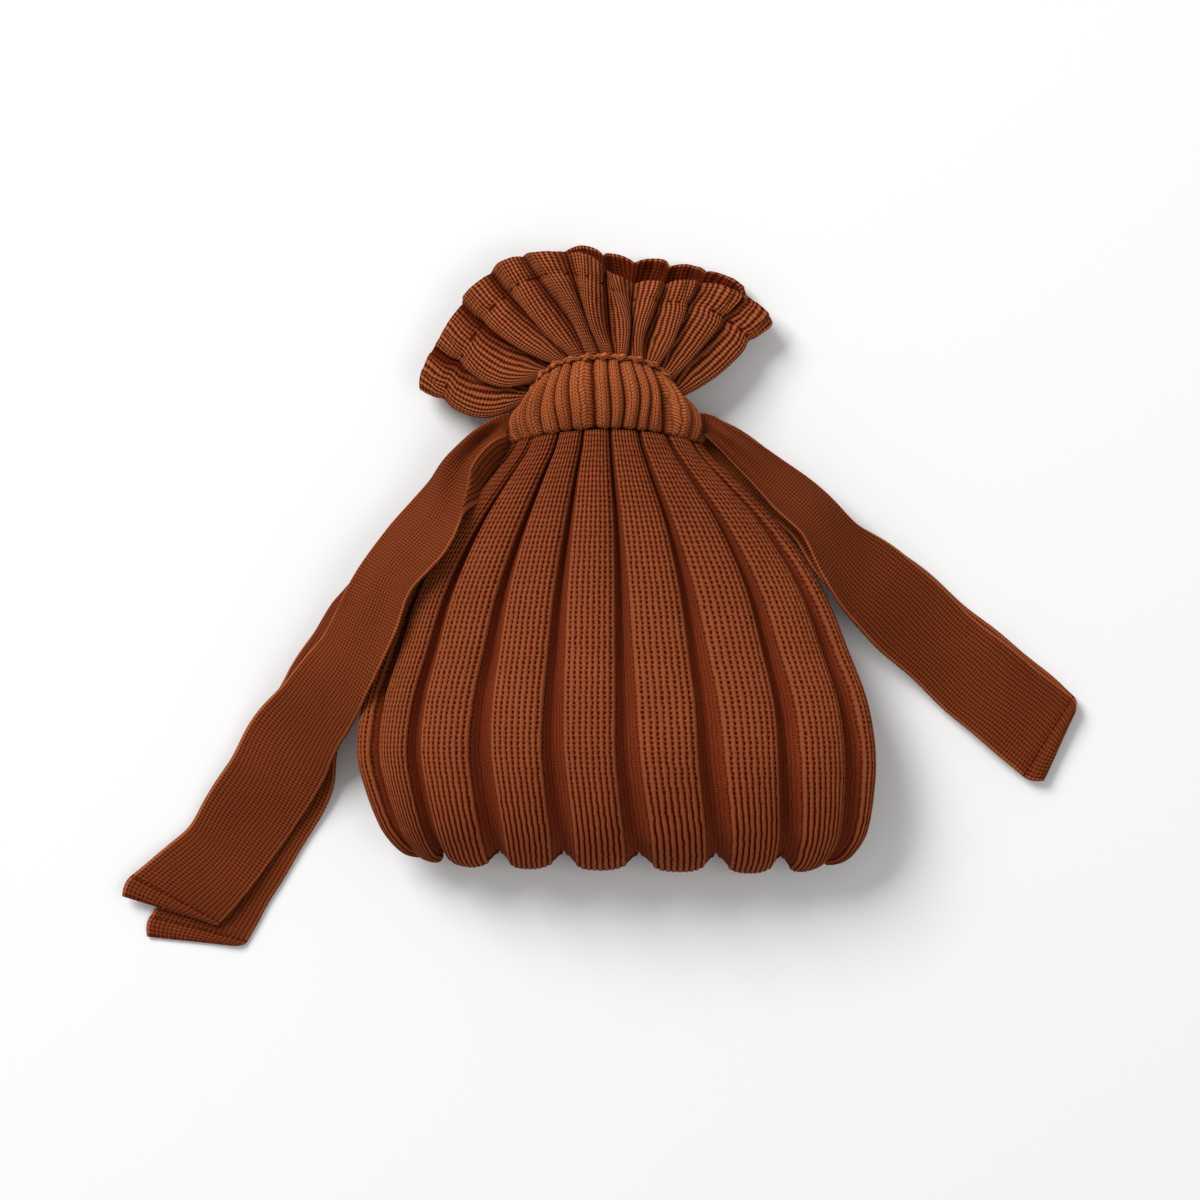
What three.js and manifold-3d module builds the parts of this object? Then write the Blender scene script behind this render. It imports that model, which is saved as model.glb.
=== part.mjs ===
import * as THREE from 'three';
import { mergeVertices } from 'three/addons/utils/BufferGeometryUtils.js';
import Module from 'manifold-3d';

// Pleated knitted drawstring bag, lying on its back on a table with its two flat drawstrings spread.
// Millimetres. +X to the right, +Y from the bag's foot to its ruffle, +Z up, table at z = 0.

// Driving sizes
const BODY_WALL = 3;
const CASING_WALL = 2.2;
const CHANNEL_DEPTH = 5;
const CHANNEL_NARROWED = 2;
const CHANNEL_PINCHED = 1;
const RUFFLE_WALL = 2.4;
const SEAM_GAP = 0.7;
const STRAP_THICKNESS = 2.2;
const STRAP_GATHERED_WIDTH = 7.6;
// Share of the half height at a place that a furrow and the wall together may take there.
const DEPTH_LIMIT = 0.8;

// Body: one row for each cross section from the foot fold to the neck.
// groove is the depth of the furrows between the ribs, valley their half width as a share of a rib.
const BODY_SECTIONS = [
  { y: -107.4, centreX: 10, halfWidth: 80, halfHeight: 0, centreZ: 13, groove: 6.5, valley: 0.15 },
  { y: -105.2, centreX: 10, halfWidth: 86, halfHeight: 9, centreZ: 14.5, groove: 6.5, valley: 0.15 },
  { y: -100, centreX: 10, halfWidth: 91, halfHeight: 16, centreZ: 17.5, groove: 6.5, valley: 0.15 },
  { y: -91, centreX: 9.5, halfWidth: 96, halfHeight: 22, centreZ: 21, groove: 6.2, valley: 0.15 },
  { y: -77, centreX: 8, halfWidth: 100, halfHeight: 25.5, centreZ: 23.6, groove: 6, valley: 0.15 },
  { y: -60, centreX: 6.4, halfWidth: 102.3, halfHeight: 27, centreZ: 24.6, groove: 6, valley: 0.15 },
  { y: -40, centreX: 6, halfWidth: 99.5, halfHeight: 25.5, centreZ: 23.6, groove: 5.8, valley: 0.14 },
  { y: -20, centreX: 5.6, halfWidth: 92.5, halfHeight: 23, centreZ: 21.7, groove: 5.5, valley: 0.13 },
  { y: 0, centreX: 5.2, halfWidth: 85, halfHeight: 21, centreZ: 20, groove: 5.2, valley: 0.12 },
  { y: 16, centreX: 4.8, halfWidth: 76.4, halfHeight: 19.5, centreZ: 18.8, groove: 5, valley: 0.12 },
  { y: 32, centreX: 4.2, halfWidth: 65, halfHeight: 18.2, centreZ: 17.9, groove: 4.6, valley: 0.12 },
  { y: 46, centreX: 3.6, halfWidth: 54, halfHeight: 17.2, centreZ: 17.3, groove: 4.2, valley: 0.12 },
  { y: 56, centreX: 3, halfWidth: 44, halfHeight: 16.5, centreZ: 17, groove: 3.6, valley: 0.12 },
  { y: 62, centreX: 2.6, halfWidth: 36.5, halfHeight: 16, centreZ: 17, groove: 3, valley: 0.12 },
];
// Furrows of the front, in degrees round the section from the right side; the back mirrors them.
const BODY_FURROWS = [23, 48.5, 69, 87.4, 104, 121, 142, 160];
const FURROW_STEEPNESS = 4;
const RIB_COLUMNS = [0, 0.13, 0.24, 0.5, 0.76, 0.87];
// Rows of the foot in which the wall turns over the fold, the widest row, the slant of the foot,
// and how far the neck bows upwards in the middle.
const FOOT_ROWS = 3;
const BELLY_ROW = 5;
const FOOT_SLANT = 0.02;
const NECK_ROWS = 4;
const NECK_BOW = 5;

// Casing: one row for each quarter of its height, from the neck seam to the ruffle seam.
const CASING_SECTIONS = [
  { halfWidth: 36.5, halfHeight: 16, centreX: 2.6, centreZ: 17 },
  { halfWidth: 37.2, halfHeight: 17, centreX: 2.6, centreZ: 17.2 },
  { halfWidth: 37, halfHeight: 17, centreX: 2.6, centreZ: 17.2 },
  { halfWidth: 35.5, halfHeight: 16.5, centreX: 2.8, centreZ: 17.2 },
  { halfWidth: 31, halfHeight: 14, centreX: 3.6, centreZ: 17 },
];
// Half width in which the casing's folds would stand if its two ends didn't bulge.
const CASING_MIDDLE = 25;
const CASING_FOLDS = 22;
const CASING_FOLD_DEPTH = 1.6;
const CASING_INNER_FOLD_DEPTH = 0.8;
const CASING_FOLD_SHARPNESS = 3;
const CASING_FOLD_COLUMNS = 3;
const CHANNEL_COLUMNS = 36;
// Rings of the casing and of the channel in it: height as a share of the casing's, and how far its two layers
// stand apart there, fully where the drawstrings run, less above them and least at the seams.
const CASING_RINGS = [
  { height: 0, apart: CHANNEL_PINCHED },
  { height: 0.1, apart: CHANNEL_DEPTH },
  { height: 0.35, apart: CHANNEL_DEPTH },
  { height: 0.65, apart: CHANNEL_DEPTH },
  { height: 0.9, apart: CHANNEL_NARROWED },
  { height: 1, apart: CHANNEL_PINCHED },
];
const CHANNEL_RINGS = [
  { height: 0.05, apart: CHANNEL_PINCHED },
  { height: 0.12, apart: CHANNEL_DEPTH },
  { height: 0.6, apart: CHANNEL_DEPTH },
  { height: 0.88, apart: CHANNEL_NARROWED },
  { height: 0.95, apart: CHANNEL_PINCHED },
];
// The ruffle seam: where it lies at the two sides, and how far and how roundly it bows in the middle.
const RUFFLE_SEAM_SIDE_Y = 78;
const RUFFLE_SEAM_BOW = 17.5;
const RUFFLE_SEAM_ROUNDING = 0.2;
// The slit at each end of the channel, with X measured from the middle of the casing.
const SLIT = { fromX: 29.4, toX: 46, bottomY: 64.2, topY: 76.6, bottomZ: 10.8, topZ: 24.2 };

// Ruffle: one row for each fold of the front, from the right side to the left.
// share is its part of the half turn, gap the depth of the furrow before it, reach its length.
const RUFFLE_FOLDS = [
  { share: 1.0, gap: 6, reach: 48, backReach: 47 },
  { share: 1.1, gap: 6, reach: 45, backReach: 45 },
  { share: 1.0, gap: 5, reach: 38, backReach: 41 },
  { share: 0.9, gap: 5, reach: 33, backReach: 38.5 },
  { share: 0.8, gap: 5, reach: 35, backReach: 39 },
  { share: 0.9, gap: 7, reach: 43, backReach: 43 },
  { share: 0.9, gap: 6, reach: 45.5, backReach: 45 },
  { share: 0.9, gap: 5, reach: 46.5, backReach: 45 },
  { share: 1.1, gap: 8, reach: 44, backReach: 43 },
  { share: 1.3, gap: 9, reach: 41, backReach: 41 },
  { share: 1.1, gap: 10, reach: 45, backReach: 44 },
];
const RUFFLE_HEIGHTS = [0, 0.18, 0.45, 0.75, 1];
const RUFFLE_FOLD_COLUMNS = [0, 0.14, 0.36, 0.64, 0.86];
const RUFFLE_RIGHT_DIRECTION = 36;
const RUFFLE_LEFT_DIRECTION = 177;
const RUFFLE_SAG = 7;
// Share of a furrow's depth that is there at the seam, and the heights at which furrows and fan are full.
const RUFFLE_BASE_GAP = 0.25;
const RUFFLE_GAP_FULL = 0.5;
const RUFFLE_FAN_FULL = 0.3;
const RUFFLE_FOLD_SHARPNESS = 2.5;
const RUFFLE_BILLOW = 3;
const RUFFLE_RIM_HALF_HEIGHT = 10;
const RUFFLE_RIM_CENTRE_Z = 10;
const RUFFLE_RIM_ROUNDING = 0.7;
// Sine of the angle at which the reach has turned from the sides' to the front's or the back's.
const RUFFLE_SIDE_BLEND = 0.2;

// Drawstring tails, as the upper strap lies: one row for each section, from the outer end to the neck.
// tilt raises (+) or lowers (-) the strap's outer edge, and skew draws that edge along the strap.
// The lower strap lies under the upper one by layer, slips towards its outer edge and is tucked narrower.
const LEFT_TAIL = [
  { x: -172.8, y: -122.8, z: 3.72, width: 36, tilt: 0, skew: -18, layer: 2.6, slip: -13, tuck: 0 },
  { x: -152.4, y: -104, z: 3.72, width: 36, tilt: 0, skew: -2, layer: 2.6, slip: -9, tuck: 0 },
  { x: -141.6, y: -88, z: 3.8, width: 36, tilt: 0, skew: 0, layer: 2.6, slip: -7, tuck: 0 },
  { x: -130.8, y: -72, z: 4.8, width: 36, tilt: 0, skew: 0, layer: 2.6, slip: -6, tuck: 0 },
  { x: -121.6, y: -56, z: 8.5, width: 36, tilt: -6, skew: 0, layer: 2.9, slip: -3, tuck: 0 },
  { x: -111.4, y: -40, z: 17, width: 36, tilt: -16, skew: 0, layer: 3.2, slip: 1, tuck: 3 },
  { x: -101.6, y: -24, z: 24, width: 36, tilt: -28, skew: 0, layer: 3.3, slip: 4, tuck: 6 },
  { x: -92.4, y: -8, z: 26, width: 35, tilt: -35, skew: 0, layer: 3.3, slip: 5.5, tuck: 8 },
  { x: -82, y: 8, z: 26, width: 34, tilt: -39, skew: 0, layer: 3.3, slip: 5.7, tuck: 8 },
  { x: -70, y: 24, z: 24.5, width: 29, tilt: -39, skew: 0, layer: 3.2, slip: 4.8, tuck: 6.5 },
  { x: -61.2, y: 40, z: 22.5, width: 23, tilt: -34, skew: 0, layer: 3.6, slip: 4, tuck: 7.4 },
  { x: -51.4, y: 55, z: 20.8, width: 16, tilt: -24, skew: 0, layer: 3.7, slip: 2.2, tuck: 3.4 },
  { x: -44, y: 64, z: 19.8, width: 12, tilt: -8, skew: 0, layer: 5, slip: 0, tuck: 0 },
];
const RIGHT_TAIL = [
  { x: 182.4, y: -58.2, z: 3.72, width: 36, tilt: 0, skew: -8, layer: 2.6, slip: 0.8, tuck: 0 },
  { x: 166, y: -44.4, z: 3.77, width: 36, tilt: 0, skew: 0, layer: 2.6, slip: 1.2, tuck: 0 },
  { x: 148.8, y: -30, z: 4.2, width: 36, tilt: 0, skew: 0, layer: 2.6, slip: 1.2, tuck: 0 },
  { x: 125.2, y: -9.6, z: 7, width: 36, tilt: -8, skew: 0, layer: 2.8, slip: 1.6, tuck: 0 },
  { x: 109.6, y: 4.8, z: 13, width: 35, tilt: -20, skew: 0, layer: 3.1, slip: 2.5, tuck: 2 },
  { x: 94.4, y: 19.6, z: 19, width: 32, tilt: -31, skew: 0, layer: 3.3, slip: 3, tuck: 5 },
  { x: 84.5, y: 31.5, z: 21, width: 28, tilt: -35, skew: 0, layer: 3.4, slip: 3, tuck: 5 },
  { x: 74.5, y: 44, z: 21, width: 24, tilt: -35, skew: 0, layer: 3.6, slip: 2, tuck: 4 },
  { x: 63, y: 54.6, z: 20.8, width: 19, tilt: -28, skew: 0, layer: 4.4, slip: 1.5, tuck: 2 },
  { x: 51.5, y: 64, z: 20, width: 14, tilt: -10, skew: 0, layer: 5.2, slip: 0, tuck: 0 },
];
// The lower strap's left end points more nearly straight down than the upper one's.
const LOWER_LEFT_END = { x: -170.3, y: -130.6, skew: -16, slip: -9 };
// The straps' way through the casing, in degrees round it, and where they come out of its slits.
const CHANNEL_WAYPOINTS = [168, 156, 140, 123, 106, 90, 74, 57, 40, 24, 12];
const STRAP_EXIT_X = { right: 42, left: -36.8 };
const STRAP_EXIT = {
  y: 69.6, z: 19.3, width: STRAP_GATHERED_WIDTH, tilt: 0, skew: 0, layer: 4.4, slip: 0, tuck: 0,
};
// Place of the strap across the channel's depth.
const STRAP_PLACE_IN_CHANNEL = 0.48;
// Height of the strap in the casing at its sides and in the middle, as a share of the casing's.
const STRAP_SIDE_HEIGHT = 0.3;
const STRAP_MIDDLE_HEIGHT = 0.46;
const STRAP_CELLS = 6;
const STRAP_STEPS_PER_ROW = 1.2;
// Share of a row over which a strap's direction is taken.
const SLOPE_STEP = 0.05;

const wasm = await Module();
wasm.setup();

const radians = THREE.MathUtils.degToRad;
const clamp = THREE.MathUtils.clamp;
const lerp = THREE.MathUtils.lerp;
const smoothstep = THREE.MathUtils.smoothstep;

// Catmull-Rom value of every column of a table at a place between its rows.
function rowAt(table, place) {
  const last = table.length - 1;
  const index = clamp(Math.floor(place), 0, last - 1);
  const f = place - index;
  const rows = [-1, 0, 1, 2].map((step) => table[clamp(index + step, 0, last)]);
  const row = {};
  for (const column of Object.keys(table[0])) {
    const [p0, p1, p2, p3] = rows.map((each) => each[column]);
    const slope1 = (p2 - p0) / 2;
    const slope2 = (p3 - p1) / 2;
    const rise = p2 - p1;
    row[column] = p1 + f * (slope1 + f * (3 * rise - 2 * slope1 - slope2 + f * (slope1 + slope2 - 2 * rise)));
  }
  return row;
}

// A depth that grows like the given one but never passes the limit.
function softLimit(depth, limit) {
  if (limit <= 0) return 0;
  return depth / Math.cbrt(1 + (depth / limit) ** 3);
}

// Cosine and sine round a section whose middle is drawn together (share < 1) or spread (share > 1).
function spread(angle, share) {
  const cos = Math.cos(angle);
  const across = cos * (share + (1 - share) * cos ** 2);
  return [across, Math.sign(Math.sin(angle)) * Math.sqrt(Math.max(0, 1 - across ** 2))];
}

// 0 at the two sides of a section and 1 at the middle of its front and back.
function bowing(angle, rounding) {
  const up = Math.sin(angle) ** 2;
  return up / (up + rounding * (1 - up));
}

// Joins rings with equal numbers of points into one closed surface with its faces out.
// ends 'loop' joins the last ring to the first, 'fold' leaves both ends folded flat on themselves,
// 'strip' closes each end ring, whose two halves face each other, with a strip.
function ringSolid(rings, ends) {
  const count = rings[0].length;
  const positions = rings.flat().flatMap((point) => [point.x, point.y, point.z]);
  const triangles = [];
  const quad = (a, b, c, d) => triangles.push(a, b, c, a, c, d);
  const bands = ends === 'loop' ? rings.length : rings.length - 1;
  for (let band = 0; band < bands; band += 1) {
    const low = band * count;
    const high = ((band + 1) % rings.length) * count;
    for (let i = 0; i < count; i += 1) {
      const next = (i + 1) % count;
      quad(low + i, low + next, high + next, high + i);
    }
  }
  if (ends === 'strip') {
    const top = (rings.length - 1) * count;
    for (let i = 0; i < count / 2 - 1; i += 1) {
      const mate = count - 1 - i;
      quad(i, mate, mate - 1, i + 1);
      quad(top + i, top + i + 1, top + mate - 1, top + mate);
    }
  }
  const geometry = new THREE.BufferGeometry();
  geometry.setAttribute('position', new THREE.Float32BufferAttribute(positions, 3));
  geometry.setIndex(triangles);
  return facesOut(dropFlatTriangles(mergeVertices(geometry)));
}

// Removes the triangles that merged points have closed to a line.
function dropFlatTriangles(geometry) {
  const index = geometry.getIndex().array;
  const kept = [];
  for (let i = 0; i < index.length; i += 3) {
    const [a, b, c] = [index[i], index[i + 1], index[i + 2]];
    if (a !== b && b !== c && c !== a) kept.push(a, b, c);
  }
  geometry.setIndex(kept);
  return geometry;
}

// Turns the triangles round where the surface encloses a negative volume.
function facesOut(geometry) {
  const index = geometry.getIndex().array;
  const position = geometry.getAttribute('position');
  const [a, b, c] = [new THREE.Vector3(), new THREE.Vector3(), new THREE.Vector3()];
  let volume = 0;
  for (let i = 0; i < index.length; i += 3) {
    a.fromBufferAttribute(position, index[i]);
    b.fromBufferAttribute(position, index[i + 1]);
    c.fromBufferAttribute(position, index[i + 2]);
    volume += a.dot(b.cross(c));
  }
  if (volume < 0) {
    for (let i = 0; i < index.length; i += 3) {
      [index[i + 1], index[i + 2]] = [index[i + 2], index[i + 1]];
    }
  }
  return geometry;
}

function toSolid(geometry) {
  const vertProperties = new Float32Array(geometry.getAttribute('position').array);
  const triVerts = new Uint32Array(geometry.getIndex().array);
  return new wasm.Manifold(new wasm.Mesh({ numProp: 3, vertProperties, triVerts }));
}

function toGeometry(solid) {
  const { vertProperties, triVerts } = solid.getMesh();
  const geometry = new THREE.BufferGeometry();
  geometry.setAttribute('position', new THREE.Float32BufferAttribute(vertProperties, 3));
  geometry.setIndex(Array.from(triVerts));
  return geometry;
}

function piece(name, geometry, colour) {
  geometry.computeVertexNormals();
  const material = new THREE.MeshStandardMaterial({ color: colour, roughness: 0.9, metalness: 0 });
  const mesh = new THREE.Mesh(geometry, material);
  mesh.name = name;
  return mesh;
}

// Body columns: for each rib its angles round the section, and each angle's place across the rib.
function bodyColumns() {
  const back = BODY_FURROWS.map((angle) => 360 - angle).reverse();
  const furrows = [-BODY_FURROWS[0], ...BODY_FURROWS, ...back];
  const columns = [];
  for (let rib = 0; rib < furrows.length - 1; rib += 1) {
    for (const across of RIB_COLUMNS) {
      columns.push({ angle: radians(lerp(furrows[rib], furrows[rib + 1], across)), across });
    }
  }
  return columns;
}

// Depth of a furrow with a flat floor and steep sides, at a place across the rib beside it.
function furrow(across, valley) {
  const distance = Math.min(across, 1 - across);
  return 1 / (1 + (distance / valley) ** FURROW_STEEPNESS);
}

// A point of the body: the section's ellipse moved inwards by the furrow's depth and the inset.
// Below the belly the ribs run straight down, so the section's middle is spread there.
// At the foot the inward move lifts the fold, and on the table the cloth lies flat.
function bodyPoint({ angle, across }, rowNumber, inset) {
  const row = BODY_SECTIONS[rowNumber];
  const last = BODY_SECTIONS.length - 1;
  const depth = row.groove * furrow(across, row.valley) + inset;
  const belly = BODY_SECTIONS[Math.max(rowNumber, BELLY_ROW)];
  const [cos, sin] = spread(angle, belly.halfWidth / row.halfWidth);
  const scale = Math.hypot(row.halfHeight * cos, row.halfWidth * sin);
  const normalX = scale > 0 ? (row.halfHeight * cos) / scale : cos;
  const normalZ = scale > 0 ? (row.halfWidth * Math.abs(sin)) / scale : 0;
  const rise = row.halfHeight * Math.abs(sin);
  const height = rise - softLimit(depth * normalZ, DEPTH_LIMIT * rise);
  const neck = smoothstep(rowNumber, last - NECK_ROWS, last);
  const foot = Math.max(0, 1 - rowNumber / FOOT_ROWS);
  const slant = FOOT_SLANT * row.halfWidth * cos * Math.max(0, 1 - rowNumber / BELLY_ROW);
  return new THREE.Vector3(
    row.centreX + row.halfWidth * cos - depth * normalX,
    row.y - slant + depth * foot + NECK_BOW * neck * sin ** 2,
    Math.max(inset, row.centreZ + Math.sign(sin) * height),
  );
}

function body() {
  const columns = bodyColumns();
  const rows = [...BODY_SECTIONS.keys()];
  const ring = (row, inset) => columns.map((column) => bodyPoint(column, row, inset));
  const outer = rows.map((row) => ring(row, 0));
  const inner = rows.map((row) => ring(row, BODY_WALL));
  return ringSolid([...outer, ...inner.reverse()], 'fold');
}

// Height along the bag of the neck seam, which bows from its sides to the middle of front and back.
function neckSeamY(up) {
  return BODY_SECTIONS.at(-1).y + NECK_BOW * up ** 2;
}

function ruffleSeamY(angle) {
  return RUFFLE_SEAM_SIDE_Y + RUFFLE_SEAM_BOW * bowing(angle, RUFFLE_SEAM_ROUNDING);
}

// A point of the casing: an ellipse whose middle keeps its width at every height,
// so that the folds of the front stand straight and its two ends bulge.
function casingPoint(angle, height, inset) {
  const row = rowAt(CASING_SECTIONS, height * (CASING_SECTIONS.length - 1));
  const [across, up] = spread(angle, CASING_MIDDLE / row.halfWidth);
  return new THREE.Vector3(
    row.centreX + (row.halfWidth - inset) * across,
    lerp(neckSeamY(up) + SEAM_GAP, ruffleSeamY(angle), height),
    row.centreZ + (row.halfHeight - inset) * up,
  );
}

// A closed band round the casing from a table of rings and a pair of insets for its two sides.
function casingBand(rings, columns, outerInset, innerInset) {
  const ring = ({ height, apart }, inset) => columns.map(
    ({ angle, fold }) => casingPoint(angle, height, inset(fold, apart)),
  );
  const outer = rings.map((row) => ring(row, outerInset));
  const inner = rings.map((row) => ring(row, innerInset)).reverse();
  return toSolid(ringSolid([...outer, ...inner], 'loop'));
}

// Columns at even angles round the casing, each with its place in a fold: 1 in a furrow, 0 on a crown.
function evenColumns(count, folds) {
  return Array.from({ length: count }, (_, i) => {
    const across = ((i * folds) / count) % 1;
    return { angle: (2 * Math.PI * i) / count, fold: Math.abs(2 * across - 1) ** CASING_FOLD_SHARPNESS };
  });
}

// The casing: one tube of cloth folded over the channel, open at its two slits.
function casing() {
  const foldColumns = evenColumns(CASING_FOLDS * CASING_FOLD_COLUMNS, CASING_FOLDS);
  const outside = (fold) => CASING_FOLD_DEPTH * fold;
  const inside = (fold, apart) => 2 * CASING_WALL + apart + CASING_INNER_FOLD_DEPTH * fold;
  const walls = casingBand(CASING_RINGS, foldColumns, outside, inside);

  const smoothColumns = evenColumns(CHANNEL_COLUMNS, 1);
  const channelOutside = () => CASING_WALL;
  const channelInside = (fold, apart) => CASING_WALL + apart;
  const channel = casingBand(CHANNEL_RINGS, smoothColumns, channelOutside, channelInside);

  let solid = walls.subtract(channel);
  const { fromX, toX, bottomY, topY, bottomZ, topZ } = SLIT;
  for (const side of [1, -1]) {
    const slit = new THREE.BoxGeometry(toX - fromX, topY - bottomY, topZ - bottomZ);
    slit.translate(
      CASING_SECTIONS[0].centreX + (side * (fromX + toX)) / 2,
      (bottomY + topY) / 2,
      (bottomZ + topZ) / 2,
    );
    slit.deleteAttribute('normal');
    slit.deleteAttribute('uv');
    solid = solid.subtract(toSolid(mergeVertices(slit)));
  }
  return toGeometry(solid);
}

// Ruffle columns: for each fold its angles round the ruffle, its furrow's depth and its reach.
function ruffleColumns() {
  const total = RUFFLE_FOLDS.reduce((sum, fold) => sum + fold.share, 0);
  const columns = [];
  let start = 0;
  RUFFLE_FOLDS.forEach((fold, number) => {
    const next = RUFFLE_FOLDS[Math.min(number + 1, RUFFLE_FOLDS.length - 1)];
    for (const across of RUFFLE_FOLD_COLUMNS) {
      const { reach, backReach } = rowAt(RUFFLE_FOLDS, number + across - 0.5);
      columns.push({
        angle: (Math.PI * (start + fold.share * across)) / total,
        gap: lerp(fold.gap, next.gap, across) * Math.abs(2 * across - 1) ** RUFFLE_FOLD_SHARPNESS,
        reach,
        backReach,
      });
    }
    start += fold.share;
  });
  const { gap, reach, backReach } = RUFFLE_FOLDS.at(-1);
  columns.push({ angle: Math.PI, gap, reach, backReach });
  return columns;
}

// A point of the ruffle: it leaves the ruffle seam and runs out along its own direction of the fan,
// between a front and a back layer that part in the middle and close towards the rim.
// side is 1 in front and -1 at the back.
function rufflePoint({ angle, gap, reach, backReach }, height, inset, side) {
  const seam = casingPoint(angle, 1, 0);
  const { halfHeight: seamHalfHeight, centreZ: seamZ } = CASING_SECTIONS.at(-1);
  const direction = radians(lerp(RUFFLE_RIGHT_DIRECTION, RUFFLE_LEFT_DIRECTION, angle / Math.PI));
  const fronting = (1 + side * Math.min(1, Math.sin(angle) / RUFFLE_SIDE_BLEND)) / 2;
  const run = height * lerp(backReach, reach, fronting);
  const depth = inset + gap * lerp(RUFFLE_BASE_GAP, 1, smoothstep(height, 0, RUFFLE_GAP_FULL));
  const bulge = Math.sin(Math.PI * height);
  const halfHeight = lerp(seamHalfHeight, RUFFLE_RIM_HALF_HEIGHT, height) + RUFFLE_BILLOW * bulge;
  const up = lerp((seam.z - seamZ) / seamHalfHeight, Math.sin(angle) ** RUFFLE_RIM_ROUNDING, height);
  const rise = halfHeight * up - softLimit(depth * up, DEPTH_LIMIT * halfHeight * up);
  const sideways = Math.cos(angle) * depth;
  const sag = RUFFLE_SAG * bulge * Math.cos(angle) ** 2;
  const fan = smoothstep(height, 0, RUFFLE_FAN_FULL);
  return new THREE.Vector3(
    seam.x + run * Math.cos(direction) - sideways * lerp(1, Math.sin(direction), fan),
    seam.y + SEAM_GAP + run * Math.sin(direction) - sag + sideways * fan * Math.cos(direction),
    Math.max(inset, lerp(seamZ, RUFFLE_RIM_CENTRE_Z, height) + side * rise),
  );
}

function ruffle() {
  const half = ruffleColumns();
  const ring = (height, inset) => [
    ...half.map((column) => rufflePoint(column, height, inset, 1)),
    ...half.slice(1, -1).reverse().map((column) => rufflePoint(column, height, inset, -1)),
  ];
  const outer = RUFFLE_HEIGHTS.map((height) => ring(height, 0));
  const inner = RUFFLE_HEIGHTS.map((height) => ring(height, RUFFLE_WALL)).reverse();
  return ringSolid([...outer, ...inner], 'loop');
}

// Directions along a strap, level across it and out of its face, between two points of its path.
function strapFrame(before, after) {
  const along = new THREE.Vector3(after.x - before.x, after.y - before.y, after.z - before.z).normalize();
  const across = new THREE.Vector3(0, 0, 1).cross(along).normalize();
  return { along, across, normal: along.clone().cross(across) };
}

// Rows of one strap from its left end through the casing to its right end.
// Inside the casing the strap's width stands straight up the channel, along +Y.
// level 0 is the upper strap through the front of the casing, level 1 the lower one through its back.
function strapRows(level) {
  const side = level === 0 ? 1 : -1;
  const inset = CASING_WALL + CHANNEL_DEPTH * STRAP_PLACE_IN_CHANNEL;
  const points = CHANNEL_WAYPOINTS.map((degrees) => {
    const angle = radians(degrees);
    const height = lerp(STRAP_SIDE_HEIGHT, STRAP_MIDDLE_HEIGHT, Math.sin(angle));
    return casingPoint(side * angle, height, inset);
  });
  const hidden = points.map(({ x, y, z }, i) => {
    const before = points[Math.max(0, i - 1)];
    const after = points[Math.min(points.length - 1, i + 1)];
    const { along, across, normal } = strapFrame(before, after);
    const tilt = THREE.MathUtils.radToDeg(Math.atan2(normal.y, across.y));
    const skew = (STRAP_GATHERED_WIDTH * along.y) / Math.hypot(normal.y, across.y);
    return { ...STRAP_EXIT, x, y, z, layer: 0, tilt, skew };
  });
  const [leftEnd, ...leftTail] = LEFT_TAIL;
  return [
    level === 0 ? leftEnd : { ...leftEnd, ...LOWER_LEFT_END },
    ...leftTail,
    { ...STRAP_EXIT, x: STRAP_EXIT_X.left },
    ...hidden,
    { ...STRAP_EXIT, x: STRAP_EXIT_X.right },
    ...RIGHT_TAIL.toReversed(),
  ];
}

// A flat strap along its rows: at each step a section across the path, turned by the row's tilt.
function strap(level) {
  const table = strapRows(level);
  const last = table.length - 1;
  const steps = Math.round(last * STRAP_STEPS_PER_ROW);
  const rings = [];
  for (let step = 0; step <= steps; step += 1) {
    const place = (last * step) / steps;
    const row = rowAt(table, place);
    const before = rowAt(table, Math.max(0, place - SLOPE_STEP));
    const after = rowAt(table, Math.min(last, place + SLOPE_STEP));
    const { along, across, normal } = strapFrame(before, after);
    across.applyAxisAngle(along, radians(row.tilt));
    normal.applyAxisAngle(along, radians(row.tilt));
    const centre = new THREE.Vector3(row.x, row.y, row.z)
      .addScaledVector(normal, -row.layer * level)
      .addScaledVector(across, row.slip * level);
    const width = row.width - row.tuck * level;
    const face = (sign) => Array.from({ length: STRAP_CELLS + 1 }, (_, cell) => {
      const share = cell / STRAP_CELLS - 0.5;
      return centre.clone()
        .addScaledVector(across, share * width)
        .addScaledVector(along, share * row.skew)
        .addScaledVector(normal, (sign * STRAP_THICKNESS) / 2);
    });
    rings.push([...face(1), ...face(-1).reverse()]);
  }
  return ringSolid(rings, 'strip');
}

const bag = new THREE.Group();
bag.name = 'drawstring_bag';
bag.add(piece('bag_body', body(), 0xa4552c));
bag.add(piece('neck_casing', casing(), 0xa4552c));
bag.add(piece('ruffle', ruffle(), 0x9c4f29));
bag.add(piece('front_drawstring', strap(0), 0x6e3214));
bag.add(piece('back_drawstring', strap(1), 0x6e3214));

export default bag;
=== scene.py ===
import math
from types import SimpleNamespace

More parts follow.
